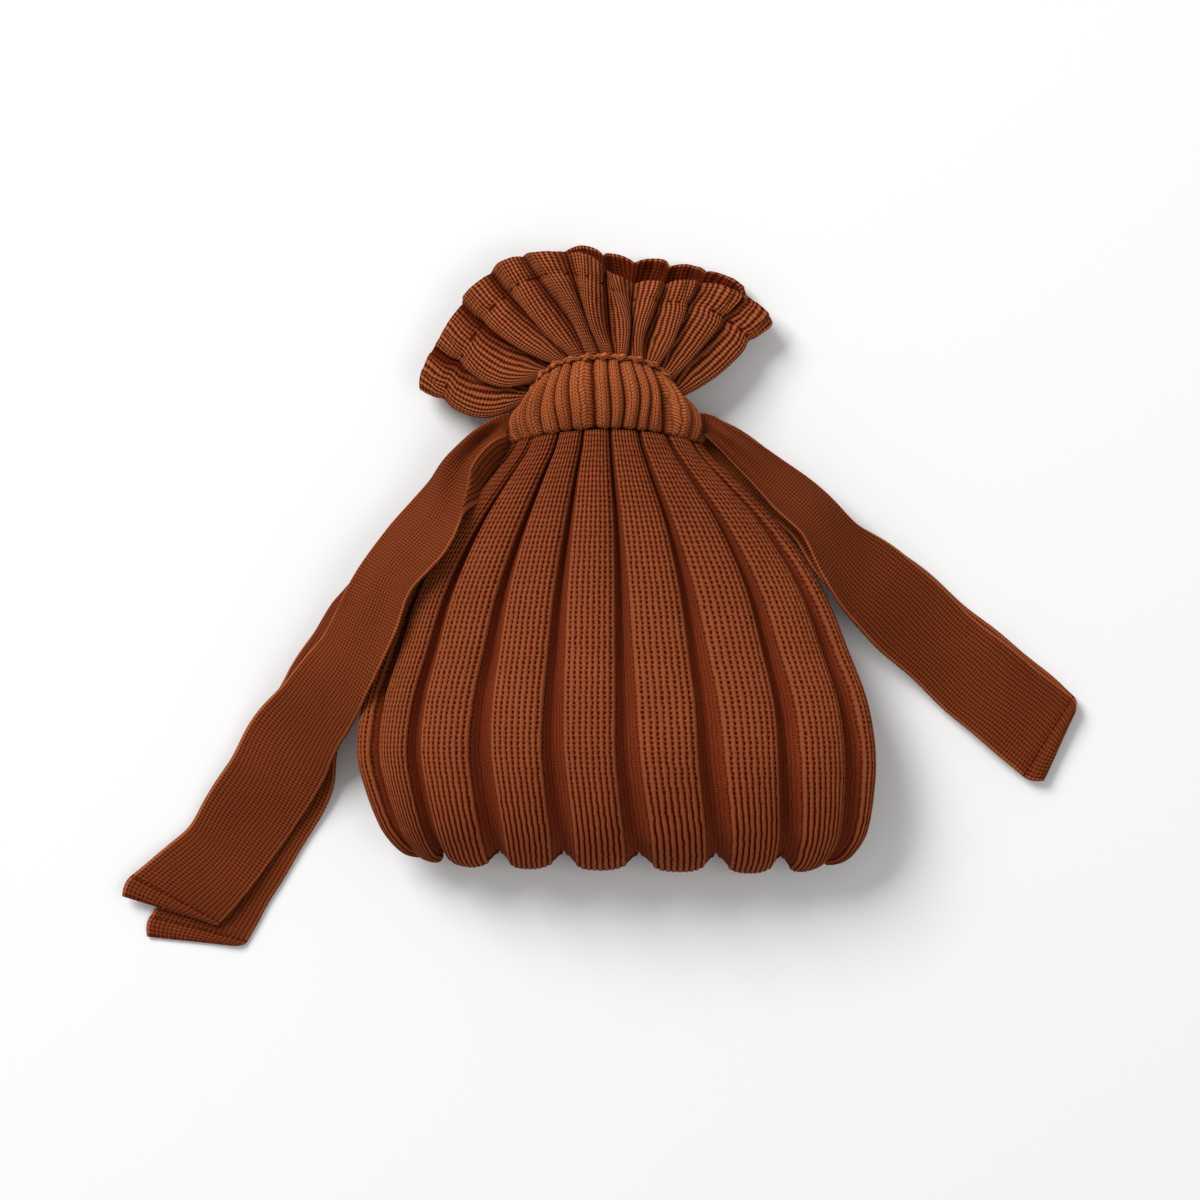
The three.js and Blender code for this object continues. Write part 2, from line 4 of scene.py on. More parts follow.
import bpy
import numpy as np
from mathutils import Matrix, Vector


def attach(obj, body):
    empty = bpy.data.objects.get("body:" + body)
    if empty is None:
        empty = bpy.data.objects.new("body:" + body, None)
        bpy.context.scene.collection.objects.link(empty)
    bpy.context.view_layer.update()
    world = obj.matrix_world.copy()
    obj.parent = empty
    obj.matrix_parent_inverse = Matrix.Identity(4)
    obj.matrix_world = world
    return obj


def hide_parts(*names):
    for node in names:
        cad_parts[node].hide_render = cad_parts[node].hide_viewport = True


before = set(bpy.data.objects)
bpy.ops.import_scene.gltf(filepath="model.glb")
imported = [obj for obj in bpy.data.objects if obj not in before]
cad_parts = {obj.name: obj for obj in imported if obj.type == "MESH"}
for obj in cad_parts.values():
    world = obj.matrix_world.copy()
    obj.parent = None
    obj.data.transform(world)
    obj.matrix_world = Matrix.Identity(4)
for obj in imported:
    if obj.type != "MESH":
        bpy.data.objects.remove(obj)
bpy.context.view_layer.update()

# Pleated knitted drawstring bag lying on its back, seen from straight above.
# Tables and sizes are in millimetres, as in the solids; meshes are in metres.
MM = 0.001
TINY = 1e-9


def table(columns, rows):
    """A table with named columns as arrays: one entry for each column, one value for each row."""
    return dict(zip(columns.split(), np.array(rows, float).T))


# Body: one row for each cross section from the foot fold to the neck. groove is the depth of the
# furrows, valley their half width and plain the half width of their plain knit, as shares of a rib.
BODY = table(
    "y centre_x half_width half_height centre_z groove valley plain",
    [
        (-107.4, 10, 80, 0, 13, 6, 0.14, 0.15),
        (-105.2, 10, 86, 9, 14.5, 6, 0.14, 0.15),
        (-100, 10, 91, 16, 17.5, 6, 0.14, 0.15),
        (-91, 9.5, 96, 22, 21, 5.8, 0.14, 0.15),
        (-77, 8, 100, 25.5, 23.6, 5.5, 0.135, 0.145),
        (-60, 6.4, 102.3, 27, 24.6, 5.2, 0.13, 0.135),
        (-40, 6, 99.5, 25.5, 23.6, 5, 0.12, 0.12),
        (-20, 5.6, 92.5, 23, 21.7, 5, 0.11, 0.105),
        (0, 5.2, 85, 21, 20, 5, 0.1, 0.09),
        (16, 4.8, 76.4, 19.5, 18.8, 5, 0.09, 0.075),
        (32, 4.2, 65, 18.2, 17.9, 4.6, 0.085, 0.06),
        (46, 3.2, 52, 17.2, 17.3, 4.2, 0.08, 0.05),
        (56, 2.7, 42.2, 16.5, 17, 3.6, 0.08, 0.045),
        (62, 2.4, 38, 16, 17, 3, 0.08, 0.04),
    ],
)
BODY_FURROWS = (23, 48.5, 69, 87.4, 104, 121, 142, 160)
BODY_WALL = 3
BODY_ROWS = 108
BODY_INNER_ROWS = 12
FURROW_STEEPNESS = 4
DEPTH_LIMIT = 0.8
FOOT_ROWS = 3
BELLY_ROW = 5
FOOT_SLANT = 0.02
FOOT_CORNER = 4
FOOT_CORNER_SHARPNESS = 10
NECK_ROWS = 4
NECK_BOW = 5
# A rib's face carries columns of stitches; the furrow beside it is plain fine knit.
RIB_WALES = 9
WALE_SAMPLES = 4
FURROW_SAMPLES = 5
FURROW_WALES = 1.5
FURROW_EDGE = 0.3
# A column of stitches: its relief as a share of its width, the level of its profile that keeps its
# place, and how square its crown is.
WALE_RELIEF = 0.2
WALE_LEVEL = 0.75
WALE_SQUARENESS = 2.4
RIB_RIGHT_FALL = 3
RIB_LEFT_FALL = 0.8
# Waves by which the ribs stray sideways: size in radians, waves round the body, and turn for each row.
RIB_STRAY = ((0.007, 3, 0.35), (0.004, 8, 0.5))
BODY_COURSE = 2
BODY_FINE_STEPS = 400

# Casing: one row for each quarter of its height, from the neck seam to the ruffle seam.
CASING = table(
    "half_width half_height centre_x centre_z",
    [
        (38.2, 16, 2.6, 17),
        (38.2, 17, 2.6, 17.2),
        (36.6, 17, 2.4, 17.2),
        (33.4, 16.5, 2, 17.2),
        (29, 14, 1.6, 17),
    ],
)
CASING_MIDDLE = 25
CASING_WALL = 2.2
CHANNEL_DEPTH = 5
CHANNEL_ENDS = (0.05, 0.95)
# How far the casing's two layers stand apart at heights of the casing, and of the channel in it.
CASING_APART = table("height apart", [(0, 1), (0.1, 5), (0.65, 5), (0.9, 2), (1, 1)])
CHANNEL_APART = table("height apart", [(0.05, 1), (0.12, 5), (0.6, 5), (0.88, 2), (0.95, 1)])
CASING_FOLDS = 28
CASING_FOLD_SAMPLES = 15
CASING_FOLD_WALES = 3
CASING_FOLD_DEPTH = 2.3
CASING_INNER_FOLD_DEPTH = 0.8
CASING_FOLD_SHARPNESS = 2.4
CASING_FURROW_WALL = 0.9
CASING_TUCK = 1.8
CASING_TUCK_HEIGHT = 0.09
CASING_SCALLOP = 1.6
CASING_SCALLOP_LEVEL = 0.25
CASING_SCALLOP_FADE = 8
CASING_FOLD_RISE = 0.9
# Creases part the casing's middle from its two bulging ends: their places and half width in degrees,
# how far the ends rise and droop, how close to the side they begin and how much tuck they lose.
CASING_CREASES = (42, 138, 222, 318)
CASING_CREASE_WIDTH = 6
CASING_LOBE_RISE = 2.2
CASING_LOBE_DROOP = 0.5
CASING_LOBE_SHARPNESS = 6
CASING_LOBE_TUCK_LOSS = 0.7
# Waves by which the casing's folds stray: size in radians, waves round it, and turn over its height.
CASING_STRAY = ((0.025, 3, 2.2), (0.012, 8, 3.5))
CASING_STITCH_RELIEF = 0.35
CASING_STITCH_LEVEL = 0.6
# Waves by which the folds' widths stray, in folds: size, waves round the casing and their start.
CASING_UNEVENNESS = ((0.3, 5, 0.4), (0.14, 11, 1.9))
CASING_ROWS = 36
CASING_COURSE = 1.5
CASING_HEIGHT = 30
RUFFLE_SEAM_SIDE_Y = 78
RUFFLE_SEAM_BOW = 17.5
RUFFLE_SEAM_ROUNDING = 0.2
SEAM_GAP = 0.7
SLIT_HALF_ANGLE = 12.5
SLIT_HEIGHTS = (0.15, 0.78)
# Sides of a cell: the axis and the step that bring its neighbour there into its place, and the side's two
# corners as steps of row and column.
CELL_SIDES = (
    (0, 1, (0, 0), (0, 1)),
    (0, -1, (1, 1), (1, 0)),
    (1, 1, (1, 0), (0, 0)),
    (1, -1, (0, 1), (1, 1)),
)

# Ruffle: one row for each fold of the front, from the right side to the left. wales is the number of
# stitch columns in the fold, bend is how far it sways sideways, rim_gap the share of its furrow's depth
# that is left at the rim, and lean the share of its width by which its crown leans over to the left.
RUFFLE = table(
    "share wales gap reach back_reach bend rim_gap lean",
    [
        (1.0, 12, 6, 48, 47, 0, 0.5, -0.05),
        (1.1, 12, 7, 42, 46, 1.5, 0.5, -0.1),
        (1.0, 11, 6, 35, 41.5, -1.5, 0.7, -0.1),
        (0.9, 9, 6, 31, 40, 2, 0.8, -0.1),
        (0.8, 9, 6, 32, 40.5, -2.5, 0.8, 0.05),
        (0.9, 11, 8, 40, 44, 2.5, 0.6, 0.12),
        (0.9, 12, 8, 45.5, 45, -2, 0.4, 0.15),
        (0.9, 13, 8, 46.5, 45, 1, 0.3, 0.15),
        (1.1, 15, 9, 44, 43, -1, 0.25, 0.15),
        (1.3, 18, 10, 41, 41, 1.5, 0.25, 0.15),
        (1.1, 16, 10, 43.5, 43, 0, 0.25, 0.05),
    ],
)
RUFFLE_WALL = 2.4
RUFFLE_RIGHT_DIRECTION = 36
RUFFLE_LEFT_DIRECTION = 177
RUFFLE_RIGHT_SAG = 5
RUFFLE_LEFT_SAG = 11
RUFFLE_BASE_GAP = 0.4
RUFFLE_GAP_FULL = 0.35
RUFFLE_GAP_FADES = 0.45
RUFFLE_SWAY = 1.3
RUFFLE_FAN_FULL = 0.3
RUFFLE_FOLD_SHARPNESS = 2.2
RUFFLE_FOLD_DEEPENING = 1.4
RUFFLE_FURROW_SHORTENING = 0.09
RUFFLE_BILLOW = 3
RUFFLE_RIM_HALF_HEIGHT = 10
RUFFLE_RIM_CENTRE_Z = 10
RUFFLE_RIM_ROUNDING = 0.7
RUFFLE_RIM_FLATNESS = 4
RUFFLE_SIDE_BLEND = 0.2
RUFFLE_WALE_SAMPLES = 4
RUFFLE_WALE_LIMIT = 3
RUFFLE_RELIEF_ENDS = (0.02, 0.12)
RUFFLE_ROWS = 52
RUFFLE_INNER_ROWS = 26
RUFFLE_COURSE = 1.25
RUFFLE_HEM = 7.6
RUFFLE_PINCH = 1.4
RUFFLE_PINCH_WIDTH = 2
RUFFLE_RIPPLE = 1
RUFFLE_RIPPLE_WALES = 4
# Furrow value of the ruffle's inner face, deep enough to paint it fully with the furrows' shade.
RUFFLE_INSIDE_PAINTED_SHADE = 11
RIM_ROLL = 0.6
RIM_ROLL_WIDTH = 2.2
RIM_SAMPLES = 7

# Drawstring tails as the upper strap lies, from the outer end to the neck. tilt turns its face and skew
# slants its end. layer and slip are how far the lower strap lies under it and sideways of it, and tuck
# how much narrower that strap is.
TAIL_COLUMNS = "x y z width tilt skew layer slip tuck"
LEFT_TAIL = table(
    TAIL_COLUMNS,
    [
        (-172.8, -122.8, 3.72, 36, 0, -18, 2.6, -13, 0),
        (-152.4, -104, 3.72, 36, 0, -2, 2.6, -9, 0),
        (-141.6, -88, 3.8, 36, 0, 0, 2.6, -7, 0),
        (-130.8, -72, 4.8, 36, 0, 0, 2.6, -6, 0),
        (-121.6, -56, 8.5, 36, -6, 0, 2.9, -2, 0),
        (-110.5, -40.5, 17, 34, -16, 0, 3.2, 4, 2),
        (-99.9, -25, 24, 32, -28, 0, 3.3, 7, 2),
        (-91.7, -8.8, 26, 31, -35, 0, 3.3, 8, 4),
        (-83.5, 8, 26, 30.5, -39, 0, 3.3, 6.5, 8),
        (-70, 25.4, 24.5, 33, -39, 0, 3.2, 4.8, 8),
        (-60, 41, 22.5, 23.4, -34, 0, 3.6, 4, 7),
        (-53.5, 53.5, 20.8, 13, -24, 0, 3.7, 2.2, 2),
        (-45.6, 64, 19.8, 9, -8, 0, 5, 0, 0),
    ],
)
RIGHT_TAIL = table(
    TAIL_COLUMNS,
    [
        (182.4, -58.2, 3.72, 36, 0, -8, 2.6, 0.8, 0),
        (166, -44.4, 3.77, 36, 0, 0, 2.6, 1.2, 0),
        (148.8, -30, 4.2, 36, 0, 0, 2.6, 1.2, 0),
        (125.2, -9.6, 7, 36, -8, 0, 2.8, 1.6, 0),
        (109.6, 4.8, 13, 35, -20, 0, 3.1, 2.5, 2),
        (95.6, 18.5, 19, 31, -31, 0, 6, 3, 2),
        (85, 31.5, 21, 26, -35, 0, 9, 5, 0),
        (74, 41.3, 21, 24, -35, 0, 9, 5, -1),
        (63, 51, 20.8, 19, -28, 0, 7.5, 2.5, -4),
        (50.5, 62.5, 20, 11.5, -10, 0, 7, -1, -7),
    ],
)
LOWER_LEFT_END = {"x": -170.3, "y": -130.6, "skew": -16, "slip": -9}
CHANNEL_WAYPOINTS = (168, 156, 140, 123, 106, 90, 74, 57, 40, 24, 12)
STRAP_EXIT_X = {"left": -37.4, "right": 42.3}
STRAP_EXIT = {"y": 69.4, "z": 19.3, "width": 8.2, "layer": 4.4}
STRAP_PLACE_IN_CHANNEL = 0.48
STRAP_SIDE_HEIGHT = 0.3
STRAP_MIDDLE_HEIGHT = 0.46
STRAP_THICKNESS = 2.2
STRAP_WIDTH = 36
STRAP_SAMPLES = 48
STRAP_ROWS = 400
STRAP_FINE_STEPS = 2000
STRAP_EDGE_CROWDING = 0.5
STRAP_WALES = 22
STRAP_COURSE = 1.2
STRAP_EDGE_ROUNDING = 10
STRAP_GATHER_LIFT = 6
STRAP_GATHER_FOLDS = 1.67
STRAP_HEM = 6
STRAP_HEM_DENT = 0.7
STRAP_HEM_DENT_WIDTH = 1
STRAP_SELVAGE = 0.3
STRAP_SELVAGE_PLACE = 0.92
STRAP_SELVAGE_WIDTH = 0.06
STRAP_END_ROUNDING = 2
STRAP_CORNER = 6
STRAP_CORNER_INSET = 4
STRAP_HEM_FLARE = 2
STRAP_HEM_FLARE_LENGTH = 8
# Waves by which a tail strays in its plane and billows: size, length along it, turn from edge to edge.
STRAP_STRAY = ((0.5, 71, 2.5), (0.3, 33, -4))
STRAP_BILLOW = (1.4, 53, 2)
# Near the neck the upper strap's inner edge is a raised lip, and on the left it is folded down past it.
STRAP_FOLD_STARTS = (0.15, 0.5)
STRAP_FOLD_ENDS = 0.12
STRAP_FLAP_SHARE = 0.3
STRAP_FLAP_WIDENS = (0.2, 0.65)
STRAP_FLAP_REACH = 34
STRAP_FLAP_REACH_POWER = 4
STRAP_FLAP_DROP = 9
STRAP_FLAP_DROP_POWER = 1.3
STRAP_RIDGE = 2.4
STRAP_RIDGE_WIDTH = 0.06
# Width of the painted highlight along the lip.
STRAP_LIP_HIGHLIGHT_WIDTH = 0.05

# How far stitches stray from their even place, across and along the columns, and how fast that changes.
STITCH_STRAY = (0.5, 0.9, 0)
STRAP_STITCH_STRAY = (0.3, 0.7, 0)
STITCH_STRAY_SCALE = 260

# Stitch patterns: width of the dark lines between columns, and strength of the bridges over these lines
# and of the joints in the columns.
BODY_BARS = {"line_width": 0.6, "bridges": 0.8, "joints": 0.45}
RUFFLE_BARS = {"line_width": 0.75, "bridges": 0.25, "joints": 0.5}
STRAP_BARS = {"line_width": 0.55, "bridges": 0.7, "joints": 0.45}
HEM_STITCHES = {"line_width": 0.5, "bridges": 0.0, "joints": 0.0}
HEM_STITCH_SCALE = (0.8, 0.0)
CASING_SLANT = 0.9
FURROW_SLANT = 1.0
FURROW_STITCH_SCALE = (1.0, 2.0)
FURROW_STITCH_HEIGHT = 0.5
# Heights of the body, as shares of a rib, between which its bridges come, go, and its joints come.
BRIDGES_COME = (0.1, 0.4)
BRIDGES_GO = (1.3, 0.6)
JOINTS_COME = (0.55, 0.95)
# Shape of a stitch column: softness of its lines, beats of a row at which bridges and joints are full,
# its round top as slope and height, and how far bridges rise and joints dip.
LINE_SOFTNESS = 0.35
BRIDGE_BEATS = (0.4, 0.9)
JOINT_BEATS = (0.4, 0.0)
COLUMN_TOP = (-0.6, 0.7)
BRIDGE_RISE = 0.3
JOINT_DIP = -0.5
# Shape of a V stitch: for the gaps between legs, in its middle and at its edge, where they lie and how
# dark they are; then a leg's round top as slope and height, and how far the gaps dip.
LEG_GAP = ((0.45, 1.0), 0.8)
MIDDLE_GAP = ((0.25, 0.0), 0.55)
EDGE_GAP = ((0.75, 1.0), 0.8)
LEG_TOP = (-0.5, 0.6)
GAP_DIP = -0.5
# Open stitches along a hem: how far from its line and from a column's middle they reach, from which
# random number on a column of the ruffle has one, and how dark the strap's are.
RUFFLE_HOLE_REACH = (0.9, 0.4)
RUFFLE_HOLE_WIDTH = (0.7, 0.3)
RUFFLE_HOLE_CHANCE = (0.6, 0.62)
STRAP_HOLE_REACH = (0.7, 0.3)
STRAP_HOLE_DARKNESS = -0.8
# Furrow depths over which the casing (as a share) and the ruffle (in millimetres) darken with painted shade,
# and how far from its middle a strap's lighter edge begins.
CASING_DARKENS = (0.3, 1.0)
RUFFLE_DARKENS = (2.5, 13.0)
STRAP_EDGE_BEGINS = (0.45, 0.48)
# Depth of the bump in metres, and how far the tone of the yarn strays.
BODY_FINISH = {"bump": 0.0008, "tone_amount": 0.35}
CASING_FINISH = {"bump": 0.0007, "tone_amount": 0.3}
RUFFLE_FINISH = {"bump": 0.0007, "tone_amount": 0.35}
STRAP_FINISH = {"bump": 0.0004, "tone_amount": 0.3}
BUMP_STRENGTH = 0.8
FIBRE_HEIGHT = 0.25
FIBRE_NOISE = {"Scale": 1400.0, "Detail": 2.0}
PATCH_NOISE = {"Scale": 45.0, "Detail": 3.0}
GAP_ROUGHNESS = 0.95
YARN_ROUGHNESS_LESS = -0.12
SHEEN_WEIGHT = 0.03
SHEEN_ROUGHNESS = 0.4
SPECULAR_LEVEL = 0.03
# Colours in display values from 0 to 255: yarn; painted shade for the gaps between stitches, for the furrows
# and for the ruffle's inner face; and the strap's lighter edge with a painted highlight on its lip.
GAP_PAINTED_SHADE = (70, 10, 0)
BODY_GAP_PAINTED_SHADE = (76, 7, 0)
BODY_LIGHT = (142, 74, 42)
FURROW_YARN_PAINTED_SHADE = (121, 53, 27)
CASING_LIGHT = (178, 97, 55)
CASING_GROOVE_PAINTED_SHADE = (100, 38, 14)
RUFFLE_LIGHT = (163, 90, 53)
RUFFLE_GROOVE_PAINTED_SHADE = (80, 26, 8)
STRAP_LIGHT = (119, 57, 29)
STRAP_GAP_PAINTED_SHADE = (70, 15, 2)
STRAP_EDGE_AND_LIP_HIGHLIGHT = (158, 82, 46)
SHEEN_TINT = (220, 140, 90)

# Loops of yarn along the ruffle seam.
SEAM_LOOPS = 24
SEAM_LOOP_ROWS = 16
SEAM_SAMPLES = 12
SEAM_RADIUS = 1.1
SEAM_SWELL = 0.35
SEAM_SWAY = 0.35
SEAM_STANDING_OUT = 0.2
SEAM_STITCHES = 2

# Stage, in metres. A light is its name, place, size and power.
FLOOR_HALF_SIZE = 3
FLOOR_CLEARANCE = 0.0002
FLOOR_WHITE = (0.95, 0.95, 0.95, 1)
FLOOR_ROUGHNESS = 0.9
CAMERA_HEIGHT = 3
FRAME_WIDTH = 0.477
SENSOR_WIDTH = 36
WORLD_STRENGTH = 0.38
LIGHTS = (
    ("key", (-1.8, 2.1, 2.2), 1.7, 122),
    ("fill", (1.8, -0.6, 3.2), 2, 16),
)


def rows_at(columns, place):
    """Catmull-Rom value of every column of a table at places between its rows."""
    last = len(next(iter(columns.values()))) - 1
    index = np.clip(np.floor(place).astype(int), 0, last - 1)
    f = place - index
    found = SimpleNamespace()
    for name, values in columns.items():
        p0, p1, p2, p3 = (values[np.clip(index + step, 0, last)] for step in (-1, 0, 1, 2))
        slope1 = (p2 - p0) / 2
        slope2 = (p3 - p1) / 2
        rise = p2 - p1
        curve = 3 * rise - 2 * slope1 - slope2 + f * (slope1 + slope2 - 2 * rise)
        setattr(found, name, p1 + f * (slope1 + f * curve))
    return found


def smoothstep(x, low, high):
    """0 up to low, 1 from high on, and 3 t squared less 2 t cubed at the share t of the way between."""
    t = np.clip((x - low) / (high - low), 0, 1)
    return t * t * (3 - 2 * t)


def lerp(a, b, t):
    """The value at the share t of the way from a to b."""
    return a + (b - a) * t


def soft_limit(depth, limit):
    """A depth that grows like the given one but never passes the limit: the depth over the cube root of
    1 plus the cube of its share of the limit."""
    limit = np.maximum(limit, TINY)
    return depth / np.cbrt(1 + (depth / limit) ** 3)


def spread(angle, share):
    """Cosine and sine round a section whose middle is drawn together (share < 1) or spread (> 1)."""
    cos = np.cos(angle)
    across = cos * (share + (1 - share) * cos**2)
    return across, np.sign(np.sin(angle)) * np.sqrt(np.maximum(0, 1 - across**2))


def wale_profile(u):
    """Height across a column of stitches: 0 at the line between two columns, 1 on its crown."""
    return 1 - np.abs(2 * (u % 1) - 1) ** WALE_SQUARENESS


def grid_normals(points):
    """Unit normals of a grid of points whose columns close into rings."""
    around = np.roll(points, -1, axis=1) - np.roll(points, 1, axis=1)
    along = np.gradient(points, axis=0)
    normal = np.cross(around, along)
    return normal / np.maximum(np.linalg.norm(normal, axis=2, keepdims=True), TINY)


def raised_stitches(points, wale, samples, widest, share):
    """A grid of points raised along their outward normals by the profile of the stitch columns, times
    a share of the columns' width. samples is the number of points across a column."""
    normal = grid_normals(points)
    outward = np.sign(np.sum(normal * (points - points.mean(axis=1, keepdims=True))))
    step = np.linalg.norm(np.roll(points, -1, axis=1) - np.roll(points, 1, axis=1), axis=2)
    width = np.minimum(step * samples / 2, widest)
    relief = WALE_RELIEF * width * (wale_profile(wale) - WALE_LEVEL) * share
    return points + outward * normal * relief[:, :, None]


def even_places(path, count):
    """Row places at even steps of length along a path that is given at finely spaced row places."""
    place, points = path
    steps = np.linalg.norm(np.diff(points, axis=0), axis=1)
    length = np.concatenate([[0], np.cumsum(steps)])
    return np.interp(np.linspace(0, length[-1], count), length, place), length[-1]


def cell_corners(grid):
    """The four corners of every cell between neighbouring rows and columns of a grid."""
    return grid[:-1, :-1], grid[:-1, 1:], grid[1:, 1:], grid[1:, :-1]


def quads(index):
    """Quads between neighbouring rows and columns of a grid of vertex numbers."""
    return np.stack(cell_corners(index), axis=-1)


def make_object(name, points, faces, uv, attributes, material):
    """A mesh object from points in millimetres, quads, one UV pair for each quad corner and
    one value of each attribute for each point. Points that no quad uses are left out, and the quads are
    turned round where the volume that they enclose is negative."""
    used, flat = np.unique(faces.ravel(), return_inverse=True)
    points = points[used]
    faces = flat.reshape(-1, 4)
    a, b, c, d = (points[faces[:, k]] for k in range(4))
    volume = np.sum(a * (np.cross(b, c) + np.cross(c, d)))
    if volume < 0:
        faces = faces[:, ::-1]
        uv = uv[:, ::-1]
    mesh = bpy.data.meshes.new(name)
    mesh.from_pydata((points * MM).tolist(), [], faces.tolist())
    layer = mesh.uv_layers.new(name="Stitch")
    layer.uv.foreach_set("vector", np.ascontiguousarray(uv, np.float32).ravel())
    for key, values in attributes.items():
        attribute = mesh.attributes.new(key, "FLOAT", "POINT")
        attribute.data.foreach_set("value", np.ascontiguousarray(values[used], np.float32))
    mesh.shade_smooth()
    mesh.materials.append(material)
    piece = bpy.data.objects.new(name, mesh)
    bpy.context.scene.collection.objects.link(piece)
    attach(piece, "root")
    return piece


def ring_index(rows, columns):
    """Vertex numbers of a grid whose last column is its first again."""
    index = np.arange(rows * columns).reshape(rows, columns)
    return np.concatenate([index, index[:, :1]], axis=1)


def corner_uv(u, v):
    """UV pairs for the corners of a grid's quads, from u and v at its rows and columns."""
    pairs = np.stack(np.broadcast_arrays(u, v), axis=-1)
    return np.stack(cell_corners(pairs), axis=-2)


# Body


def body_columns():
    """Columns round the body, rib after rib: the angles of the furrows beside the rib, and the place
    across it as base + shift * plain, so that its stitch columns fill what the furrows leave."""
    back = [360 - angle for angle in reversed(BODY_FURROWS)]
    furrows = np.radians([-BODY_FURROWS[0], *BODY_FURROWS, *back])
    ribs = len(furrows) - 1
    half = np.linspace(0, 1, FURROW_SAMPLES, endpoint=False)
    face = np.linspace(0, 1, RIB_WALES * WALE_SAMPLES, endpoint=False)
    wale = np.concatenate([FURROW_WALES * (half - 1), RIB_WALES * face, RIB_WALES + FURROW_WALES * half])
    rib = np.repeat(np.arange(ribs), len(wale))
    wale = np.tile(wale, ribs)
    rib_wales = RIB_WALES + 2 * FURROW_WALES
    return SimpleNamespace(
        start=furrows[rib],
        end=furrows[rib + 1],
        base=np.tile(np.concatenate([0 * half, face, 0 * half + 1]), ribs),
        shift=np.tile(np.concatenate([half, 1 - 2 * face, half - 1]), ribs),
        wale=wale,
        u=np.append(rib * rib_wales + wale, ribs * rib_wales - FURROW_WALES),
        in_furrow=1 - smoothstep(np.minimum(wale, RIB_WALES - wale), -FURROW_EDGE, FURROW_EDGE),
        per_rib=len(wale) // ribs,
    )


def body_surface(columns, place, inset):
    """Points of the body: each section is an ellipse moved inwards by the furrow's depth and the inset.
    The furrow is a flat-floored dip between two ribs. Below the belly the section's middle is spread so
    that the ribs run straight down, at the foot the inward move lifts the fold, and on the table the cloth
    lies flat."""
    folded = {
        name: np.concatenate([[-values[1] if name == "half_height" else values[1]], values])
        for name, values in BODY.items()
    }
    row = rows_at(folded, place[:, None] + 1)
    last = len(BODY["y"]) - 1
    across = columns.base + columns.shift * row.plain
    even = lerp(columns.start, columns.end, across)
    stray = sum(size * np.sin(waves * even + turn * place[:, None]) for size, waves, turn in RIB_STRAY)
    angle = even + stray
    distance = np.minimum(across, 1 - across)
    depth = row.groove / (1 + (distance / row.valley) ** FURROW_STEEPNESS) + inset
    off_crown = 2 * across - 1
    depth = depth + np.where(off_crown < 0, RIB_RIGHT_FALL, RIB_LEFT_FALL) * off_crown**2
    share = np.where(place[:, None] < BELLY_ROW, BODY["half_width"][BELLY_ROW] / row.half_width, 1)
    cos, sin = spread(angle, share)
    scale = np.maximum(np.hypot(row.half_height * cos, row.half_width * sin), TINY)
    normal_x = row.half_height * cos / scale
    normal_z = row.half_width * np.abs(sin) / scale
    rise = row.half_height * np.abs(sin)
    height = rise - soft_limit(depth * normal_z, DEPTH_LIMIT * rise)
    neck = smoothstep(place[:, None], last - NECK_ROWS, last)
    foot = np.maximum(0, 1 - place[:, None] / FOOT_ROWS)
    slant = FOOT_SLANT * row.half_width * cos * np.maximum(0, 1 - place[:, None] / BELLY_ROW)
    x = row.centre_x + row.half_width * cos - depth * normal_x
    corner = FOOT_CORNER * foot * cos**FOOT_CORNER_SHARPNESS
    y = row.y - slant + depth * foot + corner + NECK_BOW * neck * sin**2
    z = np.maximum(inset, row.centre_z + np.sign(sin) * height)
    return np.stack(np.broadcast_arrays(x, y, z), axis=-1)


def build_body(material):
    """The body's outer face with raised stitch columns and its inner face as one closed surface. In the
    first and the last row the back's points are the front's, so that the foot fold is closed. Rows are
    spaced evenly along the front's middle, a quarter of the way round."""
    columns = body_columns()
    count = len(columns.wale)
    fine = np.linspace(0, len(BODY["y"]) - 1, BODY_FINE_STEPS)
    crown = body_surface(columns, fine, 0)[:, count // 4]
    place, length = even_places((fine, crown), BODY_ROWS)
    outer = body_surface(columns, place, 0)
    outer = raised_stitches(outer, columns.wale, WALE_SAMPLES, np.inf, 1 - columns.in_furrow)
    outer[:, :, 2] = np.maximum(outer[:, :, 2], 0)
    inner_place = np.interp(np.linspace(1, 0, BODY_INNER_ROWS), np.linspace(0, 1, BODY_ROWS), place)
    inner = body_surface(columns, inner_place, BODY_WALL)
    points = np.concatenate([outer, inner])
    rows = len(points)
    index = np.arange(rows * count).reshape(rows, count)
    mirror = (columns.per_rib - np.arange(count)) % count
    behind = np.sin(lerp(columns.start, columns.end, columns.base)) < 0
    for row in (0, rows - 1):
        index[row] = np.where(behind, index[row][mirror], index[row])
    index = np.concatenate([index, index[:, :1]], axis=1)
    courses = length / BODY_COURSE
    v = np.concatenate([np.linspace(0, courses, BODY_ROWS), np.linspace(courses, 0, BODY_INNER_ROWS)])
    uv = corner_uv(columns.u[None, :], v[:, None])
    along = np.concatenate([np.linspace(0, 1, BODY_ROWS), np.linspace(1, 0, BODY_INNER_ROWS)])
    attributes = {
        "in_furrow": np.tile(columns.in_furrow, (rows, 1)).ravel(),
        "along": np.repeat(along, count),
    }
    points = points.reshape(-1, 3)
    faces = quads(index).reshape(-1, 4)
    return make_object("bag_body_knit", points, faces, uv.reshape(-1, 4, 2), attributes, material)


# Casing


def neck_seam_y(up):
    """Height of the neck seam along the bag: its side, plus a bow by the square of the rise."""
    return BODY["y"][-1] + NECK_BOW * up**2


def ruffle_seam_y(angle):
    """Height of the ruffle seam along the bag: its side, plus a bow that is full early in the rise."""
    up = np.sin(angle) ** 2
    return RUFFLE_SEAM_SIDE_Y + RUFFLE_SEAM_BOW * up / (up + RUFFLE_SEAM_ROUNDING * (1 - up))


